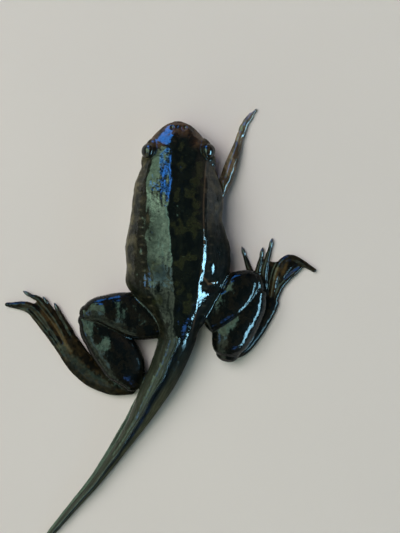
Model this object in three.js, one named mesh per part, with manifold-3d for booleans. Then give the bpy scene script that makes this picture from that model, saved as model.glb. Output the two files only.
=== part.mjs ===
// An African clawed frog, life size: a froglet that has its four legs and still carries the tail
// of its tadpole stage. It lies flat on its belly, hind legs folded, right arm stretched forward,
// tail bent to its left. Millimetres, +Z up, head towards +Y. The origin is on the belly's flat,
// midway along the back, and everything that touches the floor ends in a flat at z = 0.
import * as THREE from 'three';
import { mergeVertices } from 'three/addons/utils/BufferGeometryUtils.js';
import Module from 'manifold-3d';

const wasm = await Module();
wasm.setup();

// Driving dimensions
const GAP = 0.3; // clearance between two named parts that meet
const SHORTEST_EDGE = 0.04;
const SNOUT = 13.64; // how far the snout tip lies ahead of the origin
const NECK = 6.7; // where the head ends and the torso begins
const TAIL_ROOT = -9.3; // where the torso ends and the tail begins

const EYE = { x: 3.2, y: 10.25, z: 3.62, radius: 0.82, out: 50, gap: 0.12 };
const LID = { ring: 0.86, thick: 0.2, lift: 0.22 };
const BROW = { radii: [1.1, 1.75, 1.0], inwards: 0.5, back: 0.25, sunk: 0.7, tilt: 0.6 };
const NOSTRIL = { x: 0.72, y: 12.85, radius: 0.16, long: 0.22, depth: 0.5, lean: 0.5 };
const MOUTH = { corner: 8.9, level: 2.1, height: 0.16, depth: 0.4, rise: 2.5, span: 12 };
const HIP_BUMP = { x: 2.7, y: -4.6, radii: [0.9, 1.5, 0.75], sunk: 0.45, turn: 0.3 };
const FIN_THICKNESS = 0.5;
const UPPER_FIN = { from: 0.08, to: 0.95, angle: 104, height: 0.85, root: 0.55 };
const LOWER_FIN = { from: 0.36, to: 0.93, height: 0.5, root: 0.2, level: FIN_THICKNESS / 2 };
const TAIL_CUTS = [0.36, 0.64];
const TAIL_SUNK = 0.12; // the tail's underside lies this far below the floor, and is cut flat there
const TOE = { width: 0.85, height: 0.85, tipWidth: 0.46, tipHeight: 0.64, sunk: 0.08, end: 0.3 };
const WEB = { thickness: 0.5, level: 0.21 };
const FINGER = {
  spread: 0.16, // between the roots of two neighbours
  root: 0.4, // how far each root lies inside the palm
  width: 0.5,
  height: 0.58,
  level: 0.25,
  tipWidth: 0.4,
  tipHeight: 0.48,
  tipLevel: 0.2,
  bend: { x: 0.4, y: 0.55 }, // the middle joint's share of the way from the knuckle to the tip
};
// A claw from its root to its point: how far beyond the toe, level, thickness
const CLAW = [[-0.19, 0.36, 0.48], [0.15, 0.34, 0.38], [0.45, 0.22, 0.15]];

const LEFT = -1;
const RIGHT = 1;

// The fold along each side of the back, in plan, from behind the eye to the tail
const BACK_FOLD = { width: 0.9, height: 0.63, sunk: 0.22 };
const BACK_FOLD_LINES = {
  [RIGHT]: [[3.25, 6.3], [3.1, 4.2], [2.8, 1.6], [2.5, -1.4], [2.0, -4.4], [1.7, -7.4]],
  [LEFT]: [[-3.3, 6.3], [-3.35, 4.2], [-3.3, 1.6], [-3.1, -1.4], [-2.6, -4.4], [-2.0, -7.4]],
};

// The trunk, from the snout tip back to the tail: place along Y, reach to the left and right,
// level of the back, level of the belly, and level of the widest point
const TRUNK = [
  [13.4, 0.98, 0.98, 2.56, 1.92, 2.22],
  [13.1, 1.5, 1.45, 2.84, 1.7, 2.25],
  [12.5, 2.2, 2.1, 3.22, 1.48, 2.3],
  [11.5, 3.05, 2.95, 3.85, 1.3, 2.4],
  [10.2, 3.62, 3.62, 4.45, 1.2, 2.5],
  [8.6, 4.0, 4.0, 4.95, 1.1, 2.6],
  [6.8, 4.72, 4.65, 5.45, 0.8, 2.7],
  [4.9, 5.02, 5.0, 5.95, 0.2, 2.75],
  [2.6, 5.28, 4.9, 6.35, -0.25, 2.75],
  [0, 5.78, 5.66, 6.5, -0.35, 2.7],
  [-2.4, 5.68, 5.75, 6.45, -0.35, 2.65],
  [-4.4, 5.65, 5.2, 6.15, -0.3, 2.6],
  [-6.2, 4.1, 4.2, 5.7, -0.15, 2.5],
  [-8.2, 2.5, 2.85, 5.1, 0.1, 2.4],
  [-10.2, 2.0, 1.9, 4.4, 0.1, 2.3],
  [-11.8, 1.6, 0.9, 3.6, 0.5, 2.1],
].map(([y, left, right, top, bottom, widest]) => ({
  at: [-0.05, y, widest],
  left,
  right,
  up: top - widest,
  down: widest - bottom,
  square: 2.3,
})).reverse();

// The tail from the torso to its tip, which rests on the floor all along
const TAIL = [
  [0.0, -8.4, 4.5, 4.9],
  [-0.2, -10.5, 4.05, 4.5],
  [-1.4, -13.8, 3.4, 3.7],
  [-3.05, -16.8, 3.05, 3.0],
  [-5.05, -20.1, 1.9, 2.1],
  [-7.45, -23.6, 1.25, 1.5],
  [-9.7, -26.4, 0.95, 1.15],
  [-12.0, -29.0, 0.75, 0.85],
  [-14.6, -32.2, 0.6, 0.62],
  [-17.6, -36.2, 0.34, 0.36],
].map(([x, y, width, height]) => ({
  at: [x, y, height / 2 - TAIL_SUNK],
  left: width / 2,
  right: width / 2,
  up: height / 2,
  down: height / 2,
  square: 2,
}));

// The arms and legs as centre lines: place, width, height
const ARMS = {
  [RIGHT]: {
    upper: [[3.3, 3.9, 2.0, 1.7, 1.7], [4.3, 5.6, 1.5, 1.6, 1.6], [5.25, 7.25, 1.05, 1.5, 1.45]],
    fore: [[5.25, 7.25, 1.05, 1.5, 1.45], [5.85, 9.0, 0.85, 1.4, 1.3], [6.55, 11.1, 0.55, 0.95, 0.9]],
    palm: [[6.55, 11.1, 0.5, 0.9, 0.85], [6.85, 12.3, 0.4, 0.75, 0.7]],
    fingers: [[7.05, 13.7], [7.4, 14.3], [8.6, 15.05], [7.95, 14.35]],
  },
  [LEFT]: {
    upper: [[-3.1, 4.4, 1.9, 1.7, 1.7], [-3.65, 5.7, 1.4, 1.55, 1.55], [-3.85, 6.8, 1.0, 1.4, 1.4]],
    fore: [[-3.85, 6.8, 1.0, 1.4, 1.4], [-3.3, 8.15, 0.78, 1.25, 1.15], [-2.5, 9.4, 0.5, 0.95, 0.88]],
    palm: [[-2.5, 9.4, 0.48, 0.92, 0.85], [-1.75, 10.35, 0.38, 0.95, 0.68]],
    fingers: [[-2.0, 12.1], [-1.1, 12.35], [-0.3, 12.0], [-0.2, 10.9]],
  },
};

// Toes run from the innermost to the outermost. Each web between two of them is given as the share
// of the toes that it reaches, and how far its free edge is hollowed
const LEGS = {
  [LEFT]: {
    thigh: [
      [-2.4, -7.7, 2.1, 5.2, 3.7],
      [-4.4, -7.8, 2.05, 5.2, 3.6],
      [-6.7, -7.4, 1.95, 4.4, 3.3],
      [-8.6, -7.2, 1.8, 3.2, 2.9],
      [-10.0, -7.6, 1.6, 2.1, 2.4],
    ],
    shank: [
      [-10.0, -8.1, 1.55, 2.3, 2.3],
      [-9.1, -9.4, 1.6, 3.7, 2.8],
      [-7.1, -11.7, 1.65, 4.8, 3.0],
      [-5.8, -13.5, 1.5, 4.5, 2.6],
      [-4.9, -15.1, 1.1, 2.6, 1.9],
    ],
    sole: [
      [-5.3, -15.7, 0.65, 1.8, 1.4],
      [-7.4, -15.5, 0.6, 2.2, 1.3],
      [-9.5, -14.4, 0.5, 2.7, 1.1],
      [-11.3, -12.6, 0.4, 2.9, 1.0],
      [-12.4, -10.9, 0.35, 2.7, 0.9],
    ],
    toes: [
      [[-11.2, -12.0], [-12.0, -9.8], [-13.3, -7.4]],
      [[-11.5, -12.2], [-12.8, -9.4], [-14.5, -6.65]],
      [[-11.8, -12.4], [-13.3, -8.9], [-15.3, -6.25], [-16.35, -5.65]],
      [[-12.1, -12.6], [-14.3, -9.1], [-16.3, -6.8], [-19.0, -6.6]],
      [[-12.2, -12.7], [-14.2, -9.85], [-16.7, -7.25]],
    ],
    webs: [[1, 0.1], [0.9, 0.2], [0.72, 0.1], [0.95, 0.15]],
  },
  [RIGHT]: {
    thigh: [
      [2.7, -7.2, 2.1, 5.4, 3.7],
      [4.6, -6.3, 2.05, 5.6, 3.6],
      [6.3, -5.2, 1.95, 4.8, 3.3],
      [7.6, -4.4, 1.8, 3.5, 2.9],
      [8.5, -4.2, 1.6, 2.4, 2.4],
    ],
    shank: [
      [8.6, -5.2, 1.7, 2.4, 2.3],
      [7.9, -6.6, 1.8, 3.7, 2.8],
      [6.4, -8.7, 1.85, 4.7, 2.9],
      [5.6, -10.8, 1.6, 4.0, 2.5],
      [5.4, -12.0, 1.2, 2.6, 1.9],
    ],
    sole: [
      [5.6, -12.0, 0.65, 1.6, 1.4],
      [6.9, -11.3, 0.6, 2.0, 1.3],
      [8.3, -9.5, 0.5, 2.2, 1.1],
      [9.5, -7.4, 0.4, 2.3, 1.0],
      [10.1, -6.0, 0.35, 2.3, 0.9],
    ],
    toes: [
      [[9.2, -7.0], [8.2, -3.8], [7.35, -1.2]],
      [[9.5, -6.9], [8.75, -3.8], [9.15, -1.35]],
      [[9.8, -6.8], [9.45, -3.4], [10.15, -0.3]],
      [[10.1, -6.8], [11.0, -2.7], [12.5, -1.4], [15.0, -2.75]],
      [[10.3, -6.9], [11.4, -4.4], [13.4, -2.6]],
    ],
    webs: [[0.8, 0.5], [0.9, 0.3], [0.8, 0.4], [0.92, 0.05]],
  },
};

// Solids

function solid(geometry) {
  geometry.deleteAttribute('uv');
  geometry.deleteAttribute('normal');
  const merged = mergeVertices(geometry, 1e-4);
  return new wasm.Manifold(new wasm.Mesh({
    numProp: 3,
    vertProperties: new Float32Array(merged.attributes.position.array),
    triVerts: new Uint32Array(merged.index.array),
  }));
}

function geometryFrom(points, triangles) {
  const geometry = new THREE.BufferGeometry();
  const places = points.flatMap((point) => point.toArray());
  geometry.setAttribute('position', new THREE.Float32BufferAttribute(places, 3));
  geometry.setIndex(triangles.flat());
  return geometry;
}

// Three smooth curves that share one parameter: the centre line and the reaches of its rings
function smooth(stations) {
  const curve = (pick) => new THREE.CatmullRomCurve3(
    stations.map((s) => new THREE.Vector3(...pick(s))), false, 'catmullrom', 0.5);
  return {
    centre: curve((s) => s.at),
    across: curve((s) => [s.left, s.right, s.square]),
    upright: curve((s) => [s.up, s.down, 0]),
  };
}

// A closed body of rings along a centre line, with rounded ends. Each ring reaches left, right,
// up and down from the line by its own amounts; margin makes the whole body fatter.
function loft(stations, { steps, sides, start = 0, end = 0, capRings = 3, margin = 0 }) {
  const { centre, across, upright } = smooth(stations);
  const points = [];
  const ring = (t, shrink, shift) => {
    const along = centre.getTangent(t);
    const out = new THREE.Vector3().crossVectors(along, new THREE.Vector3(0, 0, 1)).normalize();
    const rise = new THREE.Vector3().crossVectors(out, along).normalize();
    const middle = centre.getPoint(t).addScaledVector(along, shift);
    const [left, right, square] = across.getPoint(t).toArray();
    const [up, down] = upright.getPoint(t).toArray();
    const grow = (reach) => Math.max(reach + margin, 0.03) * shrink;
    for (let i = 0; i < sides; i += 1) {
      const angle = (i / sides) * Math.PI * 2;
      const x = Math.sign(Math.cos(angle)) * Math.abs(Math.cos(angle)) ** (2 / square);
      const z = Math.sign(Math.sin(angle)) * Math.abs(Math.sin(angle)) ** (2 / square);
      points.push(middle.clone()
        .addScaledVector(out, x * grow(x > 0 ? right : left))
        .addScaledVector(rise, z * grow(z > 0 ? up : down)));
    }
  };
  const cap = (t, length, sign) => {
    const rings = length > 0 ? capRings : 0;
    const reach = length > 0 ? length + margin : margin;
    return {
      rings: Array.from({ length: rings }, (_, k) => {
        const turn = ((k + 1) / (rings + 1)) * (Math.PI / 2);
        return () => ring(t, Math.cos(turn), sign * reach * Math.sin(turn));
      }),
      pole: centre.getPoint(t).addScaledVector(centre.getTangent(t), sign * reach),
    };
  };
  const head = cap(0, start, -1);
  const foot = cap(1, end, 1);
  head.rings.reverse().forEach((draw) => draw());
  for (let k = 0; k <= steps; k += 1) {
    ring(k / steps, 1, 0);
  }
  foot.rings.forEach((draw) => draw());
  const rings = points.length / sides;
  const first = points.push(head.pole) - 1;
  const last = points.push(foot.pole) - 1;
  const triangles = [];
  for (let i = 0; i < sides; i += 1) {
    const j = (i + 1) % sides;
    triangles.push([first, i, j]);
    triangles.push([last, (rings - 1) * sides + j, (rings - 1) * sides + i]);
    for (let k = 0; k < rings - 1; k += 1) {
      const a = k * sides + i;
      const b = k * sides + j;
      const c = a + sides;
      const d = b + sides;
      if (i < sides / 2) {
        triangles.push([a, d, b], [a, c, d]);
      } else {
        triangles.push([a, c, b], [b, c, d]);
      }
    }
  }
  return solid(geometryFrom(points, triangles));
}

// A thin closed sheet over a grid of places, split into triangles alike on both faces
function sheet(place, { long, wide, thickness }) {
  const grid = [];
  for (let i = 0; i <= long; i += 1) {
    grid.push(Array.from({ length: wide + 1 }, (_, j) => place(i / long, j / wide)));
  }
  const normalAt = (i, j) => {
    const along = grid[Math.min(i + 1, long)][j].clone().sub(grid[Math.max(i - 1, 0)][j]);
    const cross = grid[i][Math.min(j + 1, wide)].clone().sub(grid[i][Math.max(j - 1, 0)]);
    return along.cross(cross).normalize();
  };
  const points = [];
  for (const side of [1, -1]) {
    for (let i = 0; i <= long; i += 1) {
      for (let j = 0; j <= wide; j += 1) {
        points.push(grid[i][j].clone().addScaledVector(normalAt(i, j), (side * thickness) / 2));
      }
    }
  }
  const at = (i, j) => i * (wide + 1) + j;
  const under = (long + 1) * (wide + 1);
  const triangles = [];
  for (let i = 0; i < long; i += 1) {
    for (let j = 0; j < wide; j += 1) {
      const [a, b, c, d] = [at(i, j), at(i + 1, j), at(i + 1, j + 1), at(i, j + 1)];
      triangles.push([a, b, c], [a, c, d]);
      triangles.push([under + a, under + c, under + b], [under + a, under + d, under + c]);
    }
  }
  const edge = [];
  for (let i = 0; i < long; i += 1) edge.push([at(i, 0), at(i + 1, 0)]);
  for (let j = 0; j < wide; j += 1) edge.push([at(long, j), at(long, j + 1)]);
  for (let i = long; i > 0; i -= 1) edge.push([at(i, wide), at(i - 1, wide)]);
  for (let j = wide; j > 0; j -= 1) edge.push([at(0, j), at(0, j - 1)]);
  for (const [a, b] of edge) {
    triangles.push([a, under + a, under + b], [a, under + b, b]);
  }
  return solid(geometryFrom(points, triangles));
}

function ball(centre, radii, turn = [0, 0, 0], detail = 16) {
  const geometry = new THREE.SphereGeometry(1, detail, Math.round(detail * 0.6));
  geometry.scale(...radii);
  geometry.rotateX(turn[0]);
  geometry.rotateY(turn[1]);
  geometry.rotateZ(turn[2]);
  geometry.translate(...centre);
  return solid(geometry);
}

// Everything on the far side of a plane, as one large block
function beyond(point, direction) {
  const SPAN = 120;
  const block = new THREE.BoxGeometry(SPAN, SPAN, SPAN);
  block.translate(0, 0, SPAN / 2);
  const turn = new THREE.Quaternion().setFromUnitVectors(
    new THREE.Vector3(0, 0, 1), new THREE.Vector3(...direction).normalize());
  block.applyQuaternion(turn);
  block.translate(...point);
  return solid(block);
}

const aboveFloor = beyond([0, 0, 0], [0, 0, 1]);

function join(pieces) {
  return pieces.reduce((whole, piece) => whole.add(piece));
}

function cut(whole, tools) {
  return tools.reduce((rest, tool) => rest.subtract(tool), whole);
}

// The two sides of a thin cut across a body at one place
function behind(whole, point, direction) {
  const shift = new THREE.Vector3(...direction).normalize().multiplyScalar(-GAP / 2);
  const start = new THREE.Vector3(...point).add(shift).toArray();
  return whole.intersect(beyond(start, direction.map((d) => -d)));
}

function ahead(whole, point, direction) {
  return behind(whole, point, direction.map((d) => -d));
}

// Draws together the ends of every very short edge that the cuts leave, where the surface stays
// closed: only an edge whose ends share just the two corners across its two triangles
function withoutShortEdges(points, triangles, shortest) {
  const around = points.map(() => new Set());
  triangles.forEach((triangle) => triangle.forEach((corner) => around[corner].add(triangle)));
  const neighbours = (corner) => new Set([...around[corner]].flat().filter((other) => other !== corner));
  const drawTogether = (kept, lost) => {
    const shared = [...neighbours(kept)].filter((other) => neighbours(lost).has(other));
    if (shared.length !== 2) return false;
    for (const triangle of [...around[lost]]) {
      if (triangle.includes(kept)) {
        triangle.forEach((corner) => around[corner].delete(triangle));
        triangle.length = 0;
      } else {
        triangle[triangle.indexOf(lost)] = kept;
        around[kept].add(triangle);
      }
    }
    around[lost].clear();
    return true;
  };
  let changed = true;
  while (changed) {
    changed = false;
    for (const triangle of triangles) {
      for (let i = 0; i < 3 && triangle.length === 3; i += 1) {
        const [kept, lost] = [triangle[i], triangle[(i + 1) % 3]];
        if (points[kept].distanceTo(points[lost]) < shortest && drawTogether(kept, lost)) changed = true;
      }
    }
  }
  const left = triangles.filter((triangle) => triangle.length === 3);
  const numbers = new Map();
  left.flat().forEach((corner) => numbers.set(corner, numbers.get(corner) ?? numbers.size));
  return geometryFrom([...numbers.keys()].map((corner) => points[corner]),
    left.map((triangle) => triangle.map((corner) => numbers.get(corner))));
}

// A node keeps only its largest closed surface
function largest(whole) {
  return whole.decompose().reduce((best, piece) => (piece.volume() > best.volume() ? piece : best));
}

const limb = (rows) => rows.map(([x, y, z, width, height]) => ({
  at: [x, y, z],
  left: width / 2,
  right: width / 2,
  up: height / 2,
  down: height / 2,
  square: 2,
}));

// The trunk, of which the head is the front and the torso the rest

const trunk = (margin) => loft(TRUNK, { steps: 30, sides: 26, end: 0.24, capRings: 0, margin });

const trunkCurve = smooth(TRUNK);

// How far along the trunk's curves a place in Y lies
function alongTrunk(y) {
  const SAMPLES = 400;
  const miss = (t) => Math.abs(trunkCurve.centre.getPoint(t).y - y);
  let nearest = 0;
  for (let i = 1; i <= SAMPLES; i += 1) {
    if (miss(i / SAMPLES) < miss(nearest)) nearest = i / SAMPLES;
  }
  return nearest;
}

// The point on the trunk's skin above a place in plan
function onBack(x, y) {
  const t = alongTrunk(y);
  const [left, right, square] = trunkCurve.across.getPoint(t).toArray();
  const [up] = trunkCurve.upright.getPoint(t).toArray();
  const centre = trunkCurve.centre.getPoint(t);
  const share = Math.min(Math.abs(x - centre.x) / (x > centre.x ? right : left), 0.999);
  return new THREE.Vector3(x, y, centre.z + up * (1 - share ** square) ** (1 / square));
}

function eyeAxis(side) {
  const out = THREE.MathUtils.degToRad(EYE.out);
  return new THREE.Vector3(side * Math.sin(out), 0.12, Math.cos(out)).normalize();
}

function eyeSocket(side) {
  const radius = EYE.radius + EYE.gap;
  return ball([side * EYE.x, EYE.y, EYE.z], [radius, radius, radius], [0, 0, 0], 18);
}

// The swelling that carries the eye: a long low brow, and a ball just larger than the socket
function eyeMound(side) {
  const brow = ball([side * (EYE.x - BROW.inwards), EYE.y - BROW.back, EYE.z - BROW.sunk], BROW.radii,
    [0, side * BROW.tilt, 0], 18);
  const rim = LID.ring + LID.thick * 0.6;
  const centre = new THREE.Vector3(side * EYE.x, EYE.y, EYE.z).addScaledVector(eyeAxis(side), -0.15);
  return brow.add(ball(centre.toArray(), [rim, rim * 1.08, rim], [0, 0, 0], 18));
}

function lid(side) {
  const ring = new THREE.TorusGeometry(LID.ring, LID.thick, 6, 18);
  ring.applyQuaternion(new THREE.Quaternion().setFromUnitVectors(new THREE.Vector3(0, 0, 1), eyeAxis(side)));
  const centre = new THREE.Vector3(side * EYE.x, EYE.y, EYE.z).addScaledVector(eyeAxis(side), LID.lift);
  ring.translate(...centre.toArray());
  return solid(ring);
}

function nostril(side) {
  const top = onBack(side * NOSTRIL.x, NOSTRIL.y);
  const { radius, long, depth, lean } = NOSTRIL;
  return ball(top.toArray(), [radius, long, depth], [lean, 0, 0], 10);
}

// The line of the mouth: a thin groove round the edge of the snout, rising towards its corners
function mouthLine() {
  const slab = new THREE.BoxGeometry(MOUTH.span, SNOUT + 1 - MOUTH.corner, MOUTH.height);
  slab.rotateX(THREE.MathUtils.degToRad(-MOUTH.rise));
  slab.translate(0, (SNOUT + 1 + MOUTH.corner) / 2, MOUTH.level);
  return solid(slab).subtract(trunk(-MOUTH.depth));
}

function makeHead() {
  const front = behind(trunk(0), [0, NECK, 0], [0, -1, 0]);
  const forms = join([front, ...[LEFT, RIGHT].flatMap((side) => [eyeMound(side), lid(side)])]);
  return cut(forms, [mouthLine(), ...[LEFT, RIGHT].flatMap((side) => [eyeSocket(side), nostril(side)])]);
}

function backFold(side) {
  const rows = BACK_FOLD_LINES[side].map(([x, y]) => (
    [x, y, onBack(x, y).z - BACK_FOLD.sunk, BACK_FOLD.width, BACK_FOLD.height]));
  return loft(limb(rows), { steps: 14, sides: 8, start: 0.4, end: 0.4 });
}

// The low bump of the hip bone on each side of the back
function hipBump(side) {
  const top = onBack(side * HIP_BUMP.x, HIP_BUMP.y);
  return ball([top.x, top.y, top.z - HIP_BUMP.sunk], HIP_BUMP.radii, [0, 0, side * HIP_BUMP.turn], 14);
}

function makeTorso() {
  const rear = ahead(trunk(0), [0, NECK, 0], [0, -1, 0]);
  const middle = behind(rear, [0, TAIL_ROOT, 0], [0, -1, 0]);
  return join([middle, ...[LEFT, RIGHT].flatMap((side) => [backFold(side), hipBump(side)])]);
}

// The tail and its fins

const tail = (margin) => loft(TAIL, { steps: 36, sides: 14, end: 0.5, margin });
const tailCurve = smooth(TAIL);

// A point beside the tail's centre line: along it by t, out by a reach at an angle above level
function besideTail(t, reach, angle) {
  const centre = tailCurve.centre.getPoint(t);
  const along = tailCurve.centre.getTangent(t);
  const out = new THREE.Vector3().crossVectors(along, new THREE.Vector3(0, 0, 1)).normalize();
  const rise = new THREE.Vector3().crossVectors(out, along).normalize();
  const turn = THREE.MathUtils.degToRad(angle);
  return centre.addScaledVector(out, Math.cos(turn) * reach).addScaledVector(rise, Math.sin(turn) * reach);
}

// How high a fin stands along its length: it rises from nothing and runs out towards the tip
function finHeight(fin, u) {
  return fin.height * Math.sin(Math.PI * Math.min(u * 1.6 + 0.02, 0.5)) * (1 - u) ** 0.4;
}

function upperFin(margin) {
  const place = (u, v) => {
    const t = UPPER_FIN.from + (UPPER_FIN.to - UPPER_FIN.from) * u;
    const core = tailCurve.upright.getPoint(t).x;
    const root = core * UPPER_FIN.root;
    return besideTail(t, root + (core + finHeight(UPPER_FIN, u) - root + margin) * v, UPPER_FIN.angle);
  };
  return sheet(place, { long: 26, wide: 2, thickness: FIN_THICKNESS + margin * 2 });
}

function lowerFin(margin) {
  const place = (u, v) => {
    const t = LOWER_FIN.from + (LOWER_FIN.to - LOWER_FIN.from) * u;
    const core = tailCurve.across.getPoint(t).x;
    const inner = besideTail(t, core * LOWER_FIN.root, 0);
    const outer = besideTail(t, core + finHeight(LOWER_FIN, u) + margin, 0);
    const point = inner.lerp(outer, v);
    point.z = LOWER_FIN.level;
    return point;
  };
  return sheet(place, { long: 26, wide: 2, thickness: FIN_THICKNESS + margin * 2 });
}

function tailPart(from, to) {
  let whole = tail(0);
  for (const [t, keep] of [[from, ahead], [to, behind]]) {
    if (t !== null) {
      const point = tailCurve.centre.getPoint(t).toArray();
      whole = keep(whole, point, tailCurve.centre.getTangent(t).setZ(0).toArray());
    }
  }
  return whole;
}

// Arms and legs

const hand = (side, margin) => {
  const arm = ARMS[side];
  const palm = loft(limb(arm.palm), { steps: 5, sides: 12, start: 0.3, end: 0.3, margin });
  const fingers = arm.fingers.map(([x, y], i) => {
    const [baseX, baseY, baseZ] = arm.palm[1];
    const rootX = baseX + (i - 1.5) * FINGER.spread;
    const rows = [
      [rootX, baseY - FINGER.root, baseZ, FINGER.width, FINGER.height],
      [
        THREE.MathUtils.lerp(rootX, x, FINGER.bend.x), THREE.MathUtils.lerp(baseY, y, FINGER.bend.y),
        FINGER.level, FINGER.width, FINGER.height,
      ],
      [x, y, FINGER.tipLevel, FINGER.tipWidth, FINGER.tipHeight],
    ];
    return loft(limb(rows), { steps: 5, sides: 7, end: FINGER.tipWidth / 2, margin });
  });
  return join([palm, ...fingers]);
};

const upperArm = (side, margin) => (
  loft(limb(ARMS[side].upper), { steps: 7, sides: 14, start: 0.6, end: 0.3, margin }));
const forearm = (side, margin) => (
  loft(limb(ARMS[side].fore), { steps: 7, sides: 14, start: 0.4, end: 0.3, margin }));
const thigh = (side, margin) => (
  loft(limb(LEGS[side].thigh), { steps: 9, sides: 18, start: 0.6, end: 0.9, margin }));
const shank = (side, margin) => (
  loft(limb(LEGS[side].shank), { steps: 10, sides: 18, start: 0.9, end: 0.9, margin }));

function toeCurve(points) {
  const places = points.map(([x, y]) => new THREE.Vector3(x, y, 0));
  return new THREE.CatmullRomCurve3(places, false, 'catmullrom', 0.5);
}

function toe(points, margin) {
  const last = points.length - 1;
  const rows = points.map(([x, y], i) => {
    const width = THREE.MathUtils.lerp(TOE.width, TOE.tipWidth, i / last);
    const height = THREE.MathUtils.lerp(TOE.height, TOE.tipHeight, i / last);
    return [x, y, height / 2 - TOE.sunk, width, height];
  });
  return loft(limb(rows), { steps: 8, sides: 7, end: TOE.end, margin });
}

// The web between two neighbouring toes, with a hollow free edge
function web(first, second, [share, hollow], margin) {
  const [a, b] = [toeCurve(first), toeCurve(second)];
  const place = (u, v) => {
    const reach = u * (share - hollow * v * (1 - v));
    return a.getPoint(reach).lerp(b.getPoint(reach), v).setZ(WEB.level);
  };
  return sheet(place, { long: 6, wide: 2, thickness: WEB.thickness + margin * 2 });
}

const foot = (side, margin) => {
  const { sole, toes, webs } = LEGS[side];
  const pieces = [loft(limb(sole), { steps: 9, sides: 12, start: 0.7, end: 0.4, margin })];
  pieces.push(...toes.map((points) => toe(points, margin)));
  webs.forEach((reach, i) => pieces.push(web(toes[i], toes[i + 1], reach, margin)));
  return join(pieces);
};

// A claw is a curved black cap that carries on from the end of its toe
function claw(side, number) {
  const curve = toeCurve(LEGS[side].toes[number]);
  const tip = curve.getPoint(1);
  const along = curve.getTangent(1);
  const rows = CLAW.map(([step, z, size]) => {
    const point = tip.clone().addScaledVector(along, TOE.end + GAP + step);
    return [point.x, point.y, z, size, size];
  });
  return loft(limb(rows), { steps: 4, sides: 7 });
}

// Materials

const skinColours = {
  head: '#33302a',
  torso: '#34372d',
  tail: '#3c4338',
  fin: '#5a5c4c',
  arm: '#5d5034',
  leg: '#2a2722',
  foot: '#5b452b',
};

function skin(colour) {
  return new THREE.MeshStandardMaterial({ color: colour, roughness: 0.18, metalness: 0 });
}

const eyeGloss = () => new THREE.MeshStandardMaterial({ color: '#0e0d0b', roughness: 0.05, metalness: 0 });
const clawHorn = () => new THREE.MeshStandardMaterial({ color: '#141110', roughness: 0.25, metalness: 0 });

const frog = new THREE.Group();

function addNode(name, whole, material) {
  const shape = largest(whole.intersect(aboveFloor)).getMesh();
  const points = Array.from({ length: shape.numVert }, (_, i) => (
    new THREE.Vector3().fromArray(shape.vertProperties, i * 3)));
  const triangles = Array.from({ length: shape.numTri }, (_, i) => (
    [...shape.triVerts.subarray(i * 3, i * 3 + 3)]));
  const geometry = withoutShortEdges(points, triangles, SHORTEST_EDGE);
  geometry.computeVertexNormals();
  const mesh = new THREE.Mesh(geometry, material);
  mesh.name = name;
  frog.add(mesh);
}

// Every part gives way to those that it grows from or lies against, by the gap all round
const sideName = { [LEFT]: 'left', [RIGHT]: 'right' };
const sides = [LEFT, RIGHT];
const wrist = (side) => [ARMS[side].palm[0].slice(0, 3), directionOf(ARMS[side].fore, 1)];

function directionOf(rows, t) {
  return smooth(limb(rows)).centre.getTangent(t).toArray();
}

const armsGrown = sides.flatMap((side) => [upperArm(side, GAP), forearm(side, GAP), hand(side, GAP)]);
addNode('head', cut(makeHead(), armsGrown), skin(skinColours.head));
addNode('torso', cut(makeTorso(), armsGrown), skin(skinColours.torso));

const trunkGrown = trunk(GAP);
const tailGrown = tail(GAP);
const [firstCut, secondCut] = TAIL_CUTS;
const tailBase = ahead(tailPart(null, firstCut), [0, TAIL_ROOT, 0], [0, -1, 0]);
addNode('tail_base', tailBase, skin(skinColours.tail));
addNode('tail_middle', tailPart(firstCut, secondCut), skin(skinColours.tail));
addNode('tail_tip', tailPart(secondCut, null), skin(skinColours.tail));
addNode('tail_fin_upper', cut(upperFin(0), [tailGrown, trunkGrown]), skin(skinColours.fin));
addNode('tail_fin_lower', cut(lowerFin(0), [tailGrown, trunkGrown]), skin(skinColours.fin));

for (const side of sides) {
  const name = sideName[side];
  const eye = ball([side * EYE.x, EYE.y, EYE.z], [EYE.radius, EYE.radius, EYE.radius], [0, 0, 0], 18);
  const lowerArm = behind(cut(forearm(side, 0), [upperArm(side, GAP)]), ...wrist(side));
  const besideThigh = [trunkGrown, tailGrown, foot(side, GAP)];
  addNode(`eye_${name}`, eye, eyeGloss());
  addNode(`upper_arm_${name}`, upperArm(side, 0), skin(skinColours.arm));
  addNode(`forearm_${name}`, lowerArm, skin(skinColours.arm));
  addNode(`hand_${name}`, ahead(hand(side, 0), ...wrist(side)), skin(skinColours.foot));
  addNode(`thigh_${name}`, cut(thigh(side, 0), besideThigh), skin(skinColours.leg));
  addNode(`shank_${name}`, cut(shank(side, 0), [thigh(side, GAP), ...besideThigh]), skin(skinColours.leg));
  addNode(`foot_${name}`, cut(foot(side, 0), [tailGrown]), skin(skinColours.foot));
  for (const number of [0, 1, 2]) {
    addNode(`claw_${name}_${number + 1}`, claw(side, number), clawHorn());
  }
}

export default frog;
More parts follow.
